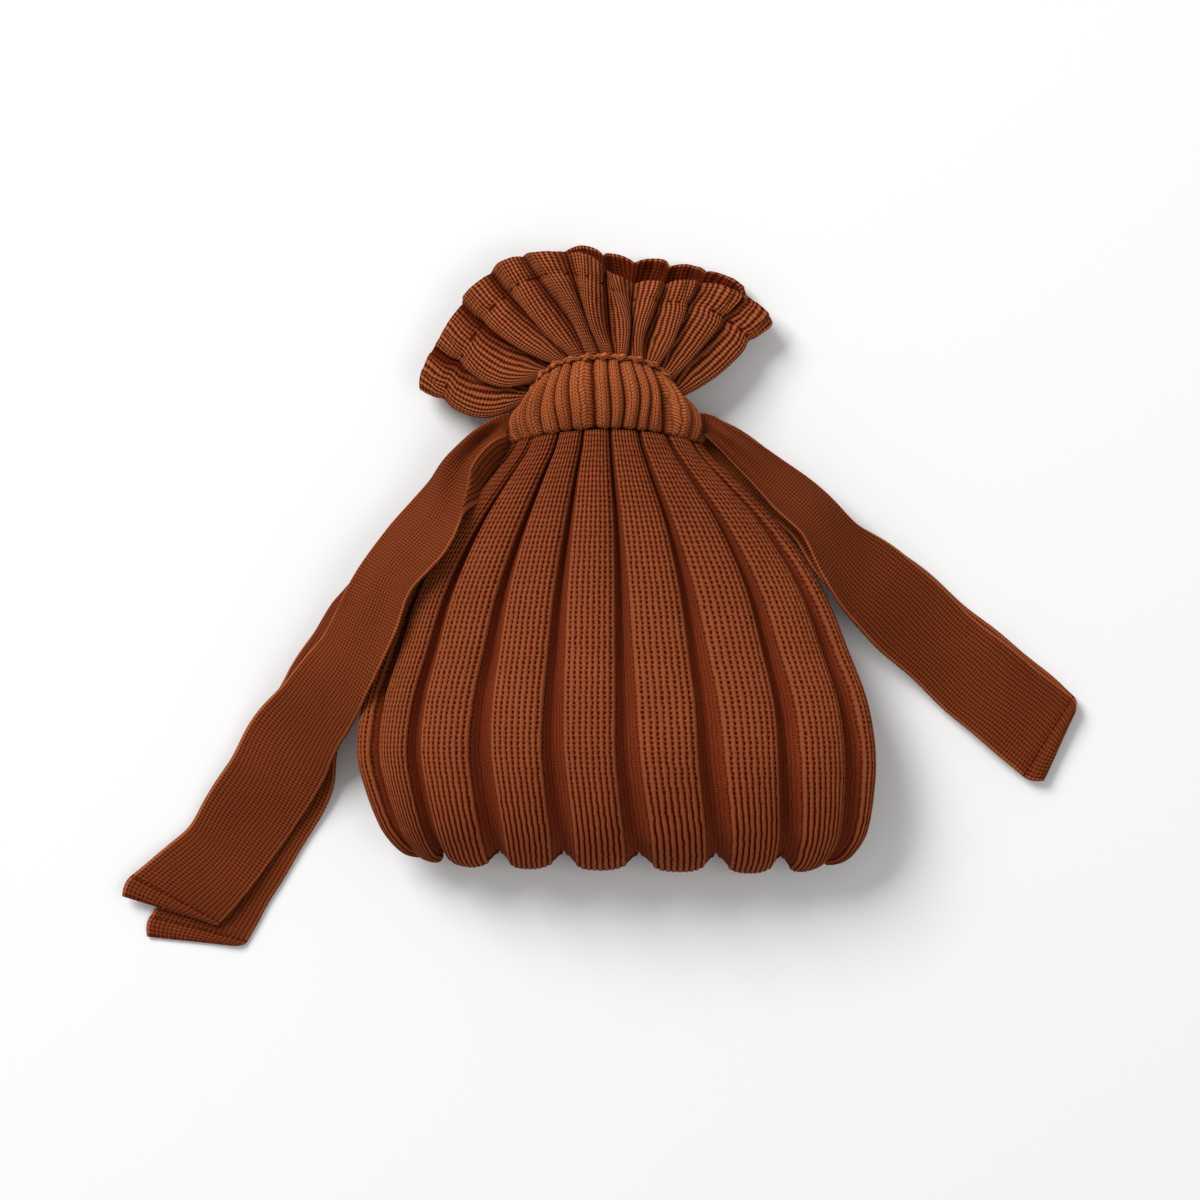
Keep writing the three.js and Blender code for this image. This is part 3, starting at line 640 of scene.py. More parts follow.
def casing_points(angle, height, inset):
    """Points of the casing: ellipses whose middle keeps its width at every height, so that the folds
    stand straight and the ends bulge, between the bowed neck seam and the more bowed ruffle seam."""
    row = rows_at(CASING, height * (len(CASING["half_width"]) - 1))
    across, up = spread(angle, CASING_MIDDLE / row.half_width)
    x = row.centre_x + (row.half_width - inset) * across
    y = lerp(neck_seam_y(up) + SEAM_GAP, ruffle_seam_y(angle), height)
    z = row.centre_z + (row.half_height - inset) * up
    return np.stack(np.broadcast_arrays(x, y, z), axis=-1)


def casing_grids(angle, wale, fold):
    """Points of the casing in four grids: its outer face, its inner face, and the outer and the inner wall of
    the channel. The inner ones run back from the ruffle seam. Folds and a tuck at each seam press the outer
    face in, it rises between the seams and the creases, and its edge at the neck is scalloped."""
    height = np.linspace(0, 1, CASING_ROWS)[:, None]
    stitch = CASING_STITCH_RELIEF * (wale_profile(wale) - CASING_STITCH_LEVEL)
    from_seam = np.minimum(height, 1 - height) / CASING_TUCK_HEIGHT
    at_side = np.cos(angle) ** CASING_LOBE_SHARPNESS
    tuck = CASING_TUCK * np.maximum(0, 1 - from_seam) ** 2 * (1 - CASING_LOBE_TUCK_LOSS * at_side)
    off_crease = (np.degrees(angle) - np.array(CASING_CREASES)[:, None]) / CASING_CREASE_WIDTH
    crease = np.sum(np.exp(-(off_crease**2)), axis=0)
    rise = CASING_FOLD_RISE * (1 - fold) + CASING_LOBE_RISE * (1 - crease)
    lift = rise * np.sin(math.pi * height) + stitch
    stray = sum(size * np.sin(waves * angle + turn * height) for size, waves, turn in CASING_STRAY)
    strayed = angle + stray * np.sin(math.pi * height)
    outer = casing_points(strayed, height, np.maximum(CASING_FOLD_DEPTH * fold, tuck) - lift)
    edge = CASING_SCALLOP * (fold - CASING_SCALLOP_LEVEL) - CASING_LOBE_DROOP * at_side
    outer[:, :, 1] += edge * (1 - height) ** CASING_SCALLOP_FADE
    outer[:, :, 2] = np.maximum(outer[:, :, 2], 0)
    apart = np.interp(height, CASING_APART["height"], CASING_APART["apart"])
    inner = casing_points(angle, height, 2 * CASING_WALL + apart + CASING_INNER_FOLD_DEPTH * fold)
    within = np.linspace(*CHANNEL_ENDS, CASING_ROWS)[:, None]
    depth = np.maximum(CASING_WALL, CASING_FOLD_DEPTH * fold + CASING_FURROW_WALL)
    near = casing_points(angle, within, depth)
    apart = np.interp(within, CHANNEL_APART["height"], CHANNEL_APART["apart"])
    far = casing_points(angle, within, CASING_WALL + apart)
    return outer, inner[::-1], near, far[::-1]


def build_casing(material):
    """The casing as one closed surface: its outer and inner face form one tube, the channel between the
    two layers another, turned round, and at the slits the cut edge of the outer layer joins the tubes."""
    count = CASING_FOLDS * CASING_FOLD_SAMPLES
    angle = 2 * math.pi * np.arange(count + 1) / count
    uneven = sum(size * np.sin(waves * angle + start) for size, waves, start in CASING_UNEVENNESS)
    wale = CASING_FOLD_WALES * (np.arange(count + 1) / CASING_FOLD_SAMPLES + uneven)
    u = wale[None, :]
    angle = angle[:-1]
    wale = wale[:-1]
    fold = np.abs(2 * (wale / CASING_FOLD_WALES % 1) - 1) ** CASING_FOLD_SHARPNESS
    grids = casing_grids(angle, wale, fold)
    points = np.concatenate([grid.reshape(-1, 3) for grid in grids])
    index = ring_index(CASING_ROWS, count)
    indices = [index + number * CASING_ROWS * count for number in range(len(grids))]
    turn = np.degrees(angle) % 180
    beside = np.minimum(turn, 180 - turn) < SLIT_HALF_ANGLE
    height = np.linspace(0, 1, CASING_ROWS)
    middle = (height[:-1] >= SLIT_HEIGHTS[0]) & (height[1:] <= SLIT_HEIGHTS[1])
    open_cells = middle[:, None] & (beside & np.roll(beside, -1))[None, :]
    v = np.linspace(0, CASING_HEIGHT / CASING_COURSE, CASING_ROWS)[:, None]
    faces = []
    uv = []

    def add(index, u, v, keep=None):
        """Adds the quads of a grid of vertex numbers, all of them or those to keep."""
        cells = quads(index)
        pairs = corner_uv(u, v)
        keep = np.ones(cells.shape[:2], bool) if keep is None else keep
        faces.append(cells[keep])
        uv.append(pairs[keep])

    for first, second, turned in ((0, 1, 1), (2, 3, -1)):
        face = indices[first][:, ::turned]
        back = indices[second][:, ::turned]
        across = u[:, ::turned]
        add(face, across, v, ~open_cells[:, ::turned])
        add(np.stack([face[-1], back[0]]), across, v[:2])
        add(back, across, v[::-1])
        add(np.stack([back[-1], face[0]]), across, v[:2])
    for axis, step, start, end in CELL_SIDES:
        row, column = np.nonzero(open_cells & ~np.roll(open_cells, step, axis=axis))
        first = (row + start[0], column + start[1])
        second = (row + end[0], column + end[1])
        edge = (indices[0][first], indices[0][second], indices[2][second], indices[2][first])
        faces.append(np.stack(edge, axis=-1))
        corner = np.stack([u[0, first[1]], v[first[0], 0]], axis=-1)
        uv.append(np.repeat(corner[:, None], 4, axis=1))
    faces = np.concatenate(faces)
    # in_furrow carries the folds' depth, which the casing's colour turns into painted shade.
    attributes = {"in_furrow": np.tile(fold, len(grids) * CASING_ROWS)}
    return make_object("neck_casing_knit", points, faces, np.concatenate(uv), attributes, material)


# Ruffle


def ruffle_columns():
    """Every column round the ruffle, front from right to left, then back (side 1 and -1): its angle on the
    seam, its stitch column, the gap that its furrow leaves between the layers, how far it reaches in front
    and at the back, how far it bends sideways and the share of its gap that is left at the rim."""
    folds = len(RUFFLE["share"])
    samples = (RUFFLE["wales"] * RUFFLE_WALE_SAMPLES).astype(int)
    fold = np.append(np.repeat(np.arange(folds), samples), folds - 1)
    count = len(fold)
    across = (np.arange(count) - (np.cumsum(samples) - samples)[fold]) / samples[fold]
    wale = np.arange(count) / RUFFLE_WALE_SAMPLES
    starts = np.concatenate([[0], np.cumsum(RUFFLE["share"])])
    leaning = across + RUFFLE["lean"][fold] * np.sin(math.pi * across) ** 2
    angle = math.pi * (starts[fold] + RUFFLE["share"][fold] * leaning) / starts[-1]
    following = np.minimum(fold + 1, folds - 1)
    gap = lerp(RUFFLE["gap"][fold], RUFFLE["gap"][following], across)
    furrow = np.abs(2 * across - 1) ** RUFFLE_FOLD_SHARPNESS
    row = rows_at(RUFFLE, np.clip(fold + across - 0.5, 0, folds - 1))
    shortening = 1 - RUFFLE_FURROW_SHORTENING * furrow * row.rim_gap
    front = {
        "angle": angle,
        "gap": RUFFLE_FOLD_DEEPENING * gap * furrow,
        "reach": row.reach * shortening,
        "back_reach": row.back_reach * shortening,
        "side": np.ones(count),
        "wale": wale,
        "bend": row.bend * np.sin(angle),
        "rim_gap": row.rim_gap,
    }
    back = {name: values[-2:0:-1] for name, values in front.items()}
    back["side"] = -back["side"]
    back["wale"] = 2 * wale[-1] - back["wale"]
    return SimpleNamespace(**{name: np.concatenate([front[name], back[name]]) for name in front})


def ruffle_points(columns, height, inset):
    """Points of the ruffle: each column leaves the ruffle seam and runs out along its own direction of the
    fan, between a front and a back layer that part in the middle and close towards the rim, while the
    furrows press inwards."""
    angle = columns.angle
    cos = np.cos(angle)
    seam = casing_points(angle, np.ones_like(angle), 0)
    seam_z = CASING["centre_z"][-1]
    seam_half_height = CASING["half_height"][-1]
    direction = np.radians(lerp(RUFFLE_RIGHT_DIRECTION, RUFFLE_LEFT_DIRECTION, angle / math.pi))
    fronting = (1 + columns.side * np.minimum(1, np.sin(angle) / RUFFLE_SIDE_BLEND)) / 2
    run = height * lerp(columns.back_reach, columns.reach, fronting)
    kept = lerp(1, columns.rim_gap, smoothstep(height, RUFFLE_GAP_FADES, 1))
    opening = lerp(RUFFLE_BASE_GAP, 1, smoothstep(height, 0, RUFFLE_GAP_FULL))
    depth = inset + columns.gap * kept * opening
    from_hem = (1 - height) * RUFFLE["reach"].mean() - RUFFLE_HEM
    ripple = RUFFLE_RIPPLE * np.sin(2 * math.pi * columns.wale / RUFFLE_RIPPLE_WALES)
    depth = depth + RUFFLE_PINCH * np.exp(-((from_hem / RUFFLE_PINCH_WIDTH) ** 2))
    depth = depth + ripple * smoothstep(-from_hem, 0, RUFFLE_HEM)
    bulge = np.sin(math.pi * np.minimum(height, 1))
    half_height = lerp(seam_half_height, RUFFLE_RIM_HALF_HEIGHT, height) + RUFFLE_BILLOW * bulge
    rim_up = np.maximum(np.sin(angle), 0) ** RUFFLE_RIM_ROUNDING
    up = lerp(np.abs(seam[:, 2] - seam_z) / seam_half_height, rim_up, height)
    rise = half_height * up - soft_limit(depth * up, DEPTH_LIMIT * half_height * up)
    facing = cos * lerp(1, np.abs(cos) ** RUFFLE_RIM_FLATNESS, height)
    sideways = facing * depth + columns.bend * np.sin(math.pi * RUFFLE_SWAY * height)
    sag = np.where(cos > 0, RUFFLE_RIGHT_SAG, RUFFLE_LEFT_SAG) * bulge * cos**2
    fan = smoothstep(height, 0, RUFFLE_FAN_FULL)
    x = seam[:, 0] + run * np.cos(direction) - sideways * lerp(1, np.sin(direction), fan)
    y = seam[:, 1] + SEAM_GAP + run * np.sin(direction) - sag + sideways * fan * np.cos(direction)
    z = np.maximum(inset, lerp(seam_z, RUFFLE_RIM_CENTRE_Z, height) + columns.side * rise)
    return np.stack(np.broadcast_arrays(x, y, z), axis=-1)


def build_ruffle(material):
    """The ruffle's outer face, its rolled rim and its inner face as one closed surface."""
    columns = ruffle_columns()
    count = len(columns.angle)
    mean_reach = RUFFLE["reach"].mean()
    rising = np.linspace(0, 1, RUFFLE_ROWS)
    turn = np.linspace(0, math.pi, RIM_SAMPLES)[1:-1]
    rim_radius = (RUFFLE_WALL + RIM_ROLL) / 2
    height = np.concatenate([
        rising,
        1 + rim_radius * np.sin(turn) / mean_reach,
        np.linspace(1, 0, RUFFLE_INNER_ROWS),
    ])
    inset = np.concatenate([
        -RIM_ROLL * np.exp(-(((1 - rising) * mean_reach / RIM_ROLL_WIDTH) ** 2)),
        RUFFLE_WALL - rim_radius - rim_radius * np.cos(turn),
        np.full(RUFFLE_INNER_ROWS, RUFFLE_WALL),
    ])
    points = ruffle_points(columns, height[:, None], inset[:, None])
    fade = smoothstep(1 - rising, *RUFFLE_RELIEF_ENDS)[:, None]
    outer = points[:RUFFLE_ROWS]
    outer = raised_stitches(outer, columns.wale, RUFFLE_WALE_SAMPLES, RUFFLE_WALE_LIMIT, fade)
    points[:RUFFLE_ROWS] = outer
    points[:, :, 2] = np.maximum(points[:, :, 2], 0)
    rows = len(points)
    index = ring_index(rows, count)
    index = np.concatenate([index, index[:1]])
    u = np.append(columns.wale, 2 * RUFFLE["wales"].sum())[None, :]
    v = height * mean_reach / RUFFLE_COURSE
    uv = corner_uv(u, np.append(v, v[0])[:, None]).reshape(-1, 4, 2)
    # The inner face gets a deep furrow value, so its colour is painted shade.
    painted_inside_shade = np.full(RUFFLE_INNER_ROWS * count, RUFFLE_INSIDE_PAINTED_SHADE)
    attributes = {
        "rim_distance": np.repeat((1 - height) * mean_reach, count),
        "furrow": np.concatenate([np.tile(columns.gap, rows - RUFFLE_INNER_ROWS), painted_inside_shade]),
    }
    faces = quads(index).reshape(-1, 4)
    return make_object("ruffle_knit", points.reshape(-1, 3), faces, uv, attributes, material)


# Drawstrings


def strap_frames(path):
    """Directions along a path, level across it and out of its face."""
    along = np.gradient(path, axis=0)
    along /= np.linalg.norm(along, axis=1, keepdims=True)
    across = np.cross([0, 0, 1], along)
    across /= np.linalg.norm(across, axis=1, keepdims=True)
    return along, across, np.cross(along, across)


def strap_rows(level):
    """Rows of one strap from its left end through the casing to its right end. Inside the casing its
    width stands straight up the channel. level 0 is the upper strap, level 1 the lower one."""
    side = 1 if level == 0 else -1
    angle = np.radians(CHANNEL_WAYPOINTS)
    height = lerp(STRAP_SIDE_HEIGHT, STRAP_MIDDLE_HEIGHT, np.sin(angle))
    inset = CASING_WALL + CHANNEL_DEPTH * STRAP_PLACE_IN_CHANNEL
    path = casing_points(side * angle, height, inset)
    along, across, normal = strap_frames(path)
    count = len(angle)
    hidden = {name: np.zeros(count) for name in LEFT_TAIL}
    hidden.update({name: np.full(count, float(value)) for name, value in STRAP_EXIT.items()})
    hidden["x"], hidden["y"], hidden["z"] = path.T
    hidden["layer"] = np.zeros(count)
    hidden["tilt"] = np.degrees(np.arctan2(normal[:, 1], across[:, 1]))
    hidden["skew"] = STRAP_EXIT["width"] * along[:, 1] / np.hypot(normal[:, 1], across[:, 1])
    rows = {}
    for name in LEFT_TAIL:
        left = LEFT_TAIL[name].copy()
        if level == 1 and name in LOWER_LEFT_END:
            left[0] = LOWER_LEFT_END[name]
        exits = [STRAP_EXIT.get(name, 0)] * 2
        if name == "x":
            exits = [STRAP_EXIT_X["left"], STRAP_EXIT_X["right"]]
        right = RIGHT_TAIL[name][::-1]
        rows[name] = np.concatenate([left, exits[:1], hidden[name], exits[1:], right])
    left_rows = len(LEFT_TAIL["x"])
    tail = np.ones(len(rows["x"]))
    tail[left_rows:left_rows + count + 2] = 0
    rows["tail"] = tail
    return rows


def strap_section(row, width, run, level):
    """Across every row of a strap: the share of its width, the place sideways of the path, the height over
    it and the painted highlight on the lip. Gathering lifts soft folds along a tail. Towards the neck the
    upper strap's inner edge rises to a lip, past which a flap turns down on the left. Loose tails stray and
    billow in waves."""
    upper = 1 - level
    even = np.linspace(-0.5, 0.5, STRAP_SAMPLES + 1)
    share = lerp(even, np.sin(math.pi * even) / 2, STRAP_EDGE_CROWDING)
    tail = np.clip(row.tail, 0, 1)
    narrowed = np.clip(1 - row.width / STRAP_WIDTH, 0, 1)
    on_left = run < run[-1] / 2
    flap_share = (STRAP_FLAP_SHARE * on_left * smoothstep(narrowed, *STRAP_FLAP_WIDENS))[:, None]
    past_ridge = share + 0.5 - flap_share
    crest = (1 + np.cos(2 * math.pi * STRAP_GATHER_FOLDS * past_ridge)) / 2
    folded = smoothstep(narrowed, *STRAP_FOLD_STARTS) * smoothstep(tail, 0, STRAP_FOLD_ENDS)
    folded = upper * folded[:, None]
    flap = np.maximum(0, -past_ridge) / np.maximum(flap_share, TINY)
    beyond = np.maximum(0, past_ridge) / (1 - flap_share)
    reach = STRAP_FLAP_REACH * narrowed[:, None] ** STRAP_FLAP_REACH_POWER
    width = width[:, None]
    sideways = lerp(share * width, (beyond - 0.5) * width - reach * flap, folded)
    ridge = STRAP_RIDGE * np.exp(-((past_ridge / STRAP_RIDGE_WIDTH) ** 2))
    lift = upper * STRAP_GATHER_LIFT * (tail * narrowed)[:, None] * crest
    lift = lift + folded * ridge - folded**2 * STRAP_FLAP_DROP * flap**STRAP_FLAP_DROP_POWER
    loose = (tail * (1 - narrowed))[:, None]
    for size, wave, turn in STRAP_STRAY:
        sideways = sideways + size * loose * np.sin(2 * math.pi * run[:, None] / wave + turn * share)
    size, wave, turn = STRAP_BILLOW
    billow = (1 + np.sin(2 * math.pi * run[:, None] / wave + turn * share)) / 2
    lift = lift + upper * size * loose * billow
    # Mask of the lip's painted highlight along the ridge.
    lip_highlight = folded * np.exp(-((past_ridge / STRAP_LIP_HIGHLIGHT_WIDTH) ** 2))
    return share, sideways, lift, lip_highlight


def build_strap(name, level, material):
    """A flat strap along its rows: a section with rounded edges across the path, turned by the row's tilt,
    with a thicker selvage along its edges, and with a hem's dent, a flare and round corners at each end."""
    rows = strap_rows(level)
    fine = np.linspace(0, len(rows["x"]) - 1, STRAP_FINE_STEPS)
    found = rows_at(rows, fine)
    path = np.stack([found.x, found.y, found.z], axis=1)
    place, length = even_places((fine, path), STRAP_ROWS)
    row = rows_at(rows, place)
    path = np.stack([row.x, row.y, row.z], axis=1)
    along, level_across, upright = strap_frames(path)
    tilt = np.radians(row.tilt)[:, None]
    across = level_across * np.cos(tilt) + upright * np.sin(tilt)
    normal = upright * np.cos(tilt) - level_across * np.sin(tilt)
    centre = path - normal * (row.layer * level)[:, None] + across * (row.slip * level)[:, None]
    run = np.linspace(0, length, STRAP_ROWS)
    from_end = np.minimum(run, run[::-1])
    flare = STRAP_HEM_FLARE * np.exp(-((from_end / STRAP_HEM_FLARE_LENGTH) ** 2))
    corner = np.maximum(0, 1 - from_end / STRAP_CORNER) ** 2
    width = row.width + flare - row.tuck * level - 2 * STRAP_CORNER_INSET * corner
    share, sideways, lift, lip_highlight = strap_section(row, width, run, level)
    off_middle = np.abs(2 * share)
    lens = np.sqrt(np.maximum(0, 1 - off_middle**STRAP_EDGE_ROUNDING))
    off_selvage = (off_middle - STRAP_SELVAGE_PLACE) / STRAP_SELVAGE_WIDTH
    selvage = STRAP_SELVAGE * np.exp(-(off_selvage**2))
    dent = STRAP_HEM_DENT * np.exp(-(((from_end - STRAP_HEM) / STRAP_HEM_DENT_WIDTH) ** 2))
    rounding = np.maximum(0, 1 - from_end / STRAP_END_ROUNDING) ** 2
    half_thickness = (1 - rounding)[:, None] * STRAP_THICKNESS / 2
    middle = centre[:, None] + across[:, None] * sideways[:, :, None]
    middle = middle + along[:, None] * (share * row.skew[:, None])[:, :, None]
    top = lift + lens * (half_thickness + selvage - dent[:, None])
    bottom = lift - lens * half_thickness
    face = middle + normal[:, None] * top[:, :, None]
    underside = middle + normal[:, None] * bottom[:, :, None]
    points = np.concatenate([face, underside[:, -2:0:-1]], axis=1)
    points[:, :, 2] = np.maximum(points[:, :, 2], 0)
    count = points.shape[1]
    index = ring_index(STRAP_ROWS, count)
    wale = STRAP_WALES * (np.concatenate([share, 1 - share[-2:0:-1], [1.5]]) + 0.5)
    uv = corner_uv(wale[None, :], run[:, None] / STRAP_COURSE).reshape(-1, 4, 2)
    near = np.arange(STRAP_SAMPLES - 1)
    mate = count - 1 - near
    caps = [
        np.stack([ring[near], ring[mate], ring[mate - 1], ring[near + 1]], axis=-1)
        for ring in index[[0, -1]]
    ]
    faces = np.concatenate([quads(index).reshape(-1, 4), caps[0], caps[1][:, ::-1]])
    uv = np.concatenate([uv, np.zeros((2 * len(near), 4, 2))])
    # The lip mask carries the painted highlight to the material.
    attributes = {
        "end_distance": np.repeat(from_end, count),
        "lip_highlight": np.concatenate([lip_highlight, lip_highlight[:, -2:0:-1]], axis=1).ravel(),
    }
    return make_object(name, points.reshape(-1, 3), faces, uv, attributes, material)


# Ruffle seam


def build_seam(material):
    """A chain of loops round the ruffle seam: a closed tube that swells and sways once for each loop."""
    rows = SEAM_LOOPS * SEAM_LOOP_ROWS
    angle = 2 * math.pi * np.arange(rows) / rows
    centre = casing_points(angle, np.ones(rows), -SEAM_STANDING_OUT)
    middle = np.array([CASING["centre_x"][-1], 0, CASING["centre_z"][-1]])
    outward = (centre - middle) * [1, 0, 1]
    outward /= np.linalg.norm(outward, axis=1, keepdims=True)
    along = np.roll(centre, -1, axis=0) - np.roll(centre, 1, axis=0)
    along /= np.linalg.norm(along, axis=1, keepdims=True)
    upward = np.cross(outward, along)
    phase = SEAM_LOOPS * angle
    centre = centre + outward * (SEAM_SWAY * np.cos(phase))[:, None]
    centre = centre + np.array([0, SEAM_GAP / 2, 0]) + upward * (SEAM_SWAY * np.sin(2 * phase))[:, None]
    radius = SEAM_RADIUS * (1 + SEAM_SWELL * np.cos(phase))
    turn = 2 * math.pi * np.arange(SEAM_SAMPLES) / SEAM_SAMPLES
    ring = outward[:, None] * np.cos(turn)[:, None] + upward[:, None] * np.sin(turn)[:, None]
    points = centre[:, None] + radius[:, None, None] * ring
    index = ring_index(rows, SEAM_SAMPLES)
    index = np.concatenate([index, index[:1]])
    u = np.arange(SEAM_SAMPLES + 1)[None, :] / SEAM_SAMPLES * SEAM_STITCHES
    v = np.arange(rows + 1)[:, None] * SEAM_LOOPS / rows * SEAM_STITCHES
    points = points.reshape(-1, 3)
    faces = quads(index).reshape(-1, 4)
    uv = corner_uv(u, v).reshape(-1, 4, 2)
    attributes = {"in_furrow": np.zeros(rows * SEAM_SAMPLES)}
    return make_object("ruffle_seam_loops", points, faces, uv, attributes, material)


# Materials


def linear(display):
    """A colour given in display values from 0 to 255, as the shaders take it: each share of 255 goes through
    the usual curve of display colours, a power of 2.4 with a straight piece near black."""
    share = np.array(display) / 255
    return (*np.where(share > 0.04045, ((share + 0.055) / 1.055) ** 2.4, share / 12.92), 1)


def set_input(tree, socket, value):
    """Links an input to a socket, or sets it to a value."""
    if isinstance(value, bpy.types.NodeSocket):
        tree.links.new(value, socket)
    else:
        socket.default_value = value


def add_node(tree, kind, inputs=None, **settings):
    """A node with its settings, and its inputs set to values or linked to sockets."""
    node = tree.nodes.new(kind)
    for name, value in settings.items():
        setattr(node, name, value)
    for key, value in (inputs or {}).items():
        set_input(tree, node.inputs[key], value)
    return node


def calc(tree, operation, *values):
    """The result of a math operation on values or sockets."""
    return add_node(tree, "ShaderNodeMath", dict(enumerate(values)), operation=operation).outputs[0]


def ramp(tree, value, low, high):
    """0 at low and 1 at high, with a smooth rise or fall between."""
    inputs = {"Value": value, "From Min": low, "From Max": high}
    return add_node(tree, "ShaderNodeMapRange", inputs, interpolation_type="SMOOTHSTEP").outputs["Result"]


def blend(tree, factor, first, second, mode="MIX"):
    """A mix of two colours, each a socket or a colour."""
    inputs = {0: factor, 6: first, 7: second}
    return add_node(tree, "ShaderNodeMix", inputs, data_type="RGBA", blend_type=mode).outputs[2]


def mix_values(tree, factor, first, second):
    """The first value where the factor is 0, the second where it is 1, and a mix of them between."""
    return add_node(tree, "ShaderNodeMix", {0: factor, 2: first, 3: second}, data_type="FLOAT").outputs[0]


def new_group(name, inputs, outputs):
    """A shader node group with named sockets: the tree, its inputs and its output node."""
    tree = bpy.data.node_groups.new(name, "ShaderNodeTree")
    for label in inputs:
        kind = "NodeSocketVector" if label == "Stitch" else "NodeSocketFloat"
        tree.interface.new_socket(label, in_out="INPUT", socket_type=kind)
    for label in outputs:
        tree.interface.new_socket(label, in_out="OUTPUT", socket_type="NodeSocketFloat")
    return tree, add_node(tree, "NodeGroupInput").outputs, add_node(tree, "NodeGroupOutput")


def off_half(tree, value):
    """How far a value's fraction is from a half, from 0 to 1: twice its distance from a half."""
    off_centre = calc(tree, "SUBTRACT", calc(tree, "FRACT", value), 0.5)
    return calc(tree, "MULTIPLY", calc(tree, "ABSOLUTE", off_centre), 2.0)


def stitch_place(tree, stitch):
    """Place in a stitch: distance from its column's middle (0) to its line (1), and the row number."""
    place = add_node(tree, "ShaderNodeSeparateXYZ", {"Vector": stitch}).outputs
    return off_half(tree, place["X"]), place["Y"]


def round_top(tree, distance, slope, top):
    """A height that falls with the square of a distance: slope times the square, plus the top."""
    return calc(tree, "MULTIPLY_ADD", calc(tree, "MULTIPLY", distance, distance), slope, top)


def columns_group():
    """Upright columns of stitches with dark lines between them. Bridges crosses the lines once in each row,
    and Joints pinches each column once in each row, so that it looks like a chain of beads."""
    labels = ("Stitch", "Line Width", "Bridges", "Joints")
    tree, inputs, output = new_group("Knit columns", labels, ("Yarn", "Height"))
    side, row = stitch_place(tree, inputs["Stitch"])
    wave = calc(tree, "COSINE", calc(tree, "MULTIPLY", row, 2 * math.pi))
    beat = calc(tree, "MULTIPLY_ADD", wave, 0.5, 0.5)
    line_from = calc(tree, "SUBTRACT", 1.0, inputs["Line Width"])
    line_to = calc(tree, "MULTIPLY_ADD", inputs["Line Width"], -LINE_SOFTNESS, 1.0)
    line = ramp(tree, side, line_from, line_to)
    bridge = calc(tree, "MULTIPLY", inputs["Bridges"], ramp(tree, beat, *BRIDGE_BEATS))
    line = calc(tree, "MULTIPLY", line, calc(tree, "SUBTRACT", 1.0, bridge))
    joint = calc(tree, "MULTIPLY", inputs["Joints"], ramp(tree, beat, *JOINT_BEATS))
    gap = calc(tree, "MAXIMUM", line, joint)
    nub = calc(tree, "MULTIPLY_ADD", bridge, BRIDGE_RISE, round_top(tree, side, *COLUMN_TOP))
    tree.links.new(calc(tree, "SUBTRACT", 1.0, gap), output.inputs["Yarn"])
    tree.links.new(calc(tree, "MULTIPLY_ADD", joint, JOINT_DIP, nub), output.inputs["Height"])
    return tree


def plait_group():
    """Columns of slanted stitch legs that meet in a V. Slant is the rise of a leg in rows."""
    tree, inputs, output = new_group("Knit plait", ("Stitch", "Slant"), ("Yarn", "Height"))
    side, row = stitch_place(tree, inputs["Stitch"])
    leg = off_half(tree, calc(tree, "MULTIPLY_ADD", side, inputs["Slant"], row))
    places = ((leg, LEG_GAP), (side, MIDDLE_GAP), (side, EDGE_GAP))
    between, middle, edge = (
        calc(tree, "MULTIPLY", ramp(tree, place, *ends), darkness) for place, (ends, darkness) in places
    )
    dip = calc(tree, "MAXIMUM", middle, edge)
    gap = calc(tree, "MAXIMUM", between, dip)
    height = calc(tree, "MULTIPLY_ADD", dip, GAP_DIP, round_top(tree, leg, *LEG_TOP))
    tree.links.new(calc(tree, "SUBTRACT", 1.0, gap), output.inputs["Yarn"])
    tree.links.new(height, output.inputs["Height"])
    return tree


def tone_group():
    """Uneven tone of dyed yarn: fine fibre and broad patches. Amount is how far it strays from 1."""
    tree, inputs, output = new_group("Yarn tone", ("Amount",), ("Tone", "Fibre"))
    place = add_node(tree, "ShaderNodeTexCoord").outputs["Object"]
    fine, broad = (
        add_node(tree, "ShaderNodeTexNoise", {"Vector": place, **noise}).outputs[0]
        for noise in (FIBRE_NOISE, PATCH_NOISE)
    )
    stray = calc(tree, "SUBTRACT", calc(tree, "ADD", fine, broad), 1.0)
    tree.links.new(calc(tree, "MULTIPLY_ADD", stray, inputs["Amount"], 1.0), output.inputs["Tone"])
    tree.links.new(fine, output.inputs["Fibre"])
    return tree


GROUPS = {"columns": columns_group(), "plait": plait_group(), "tone": tone_group()}


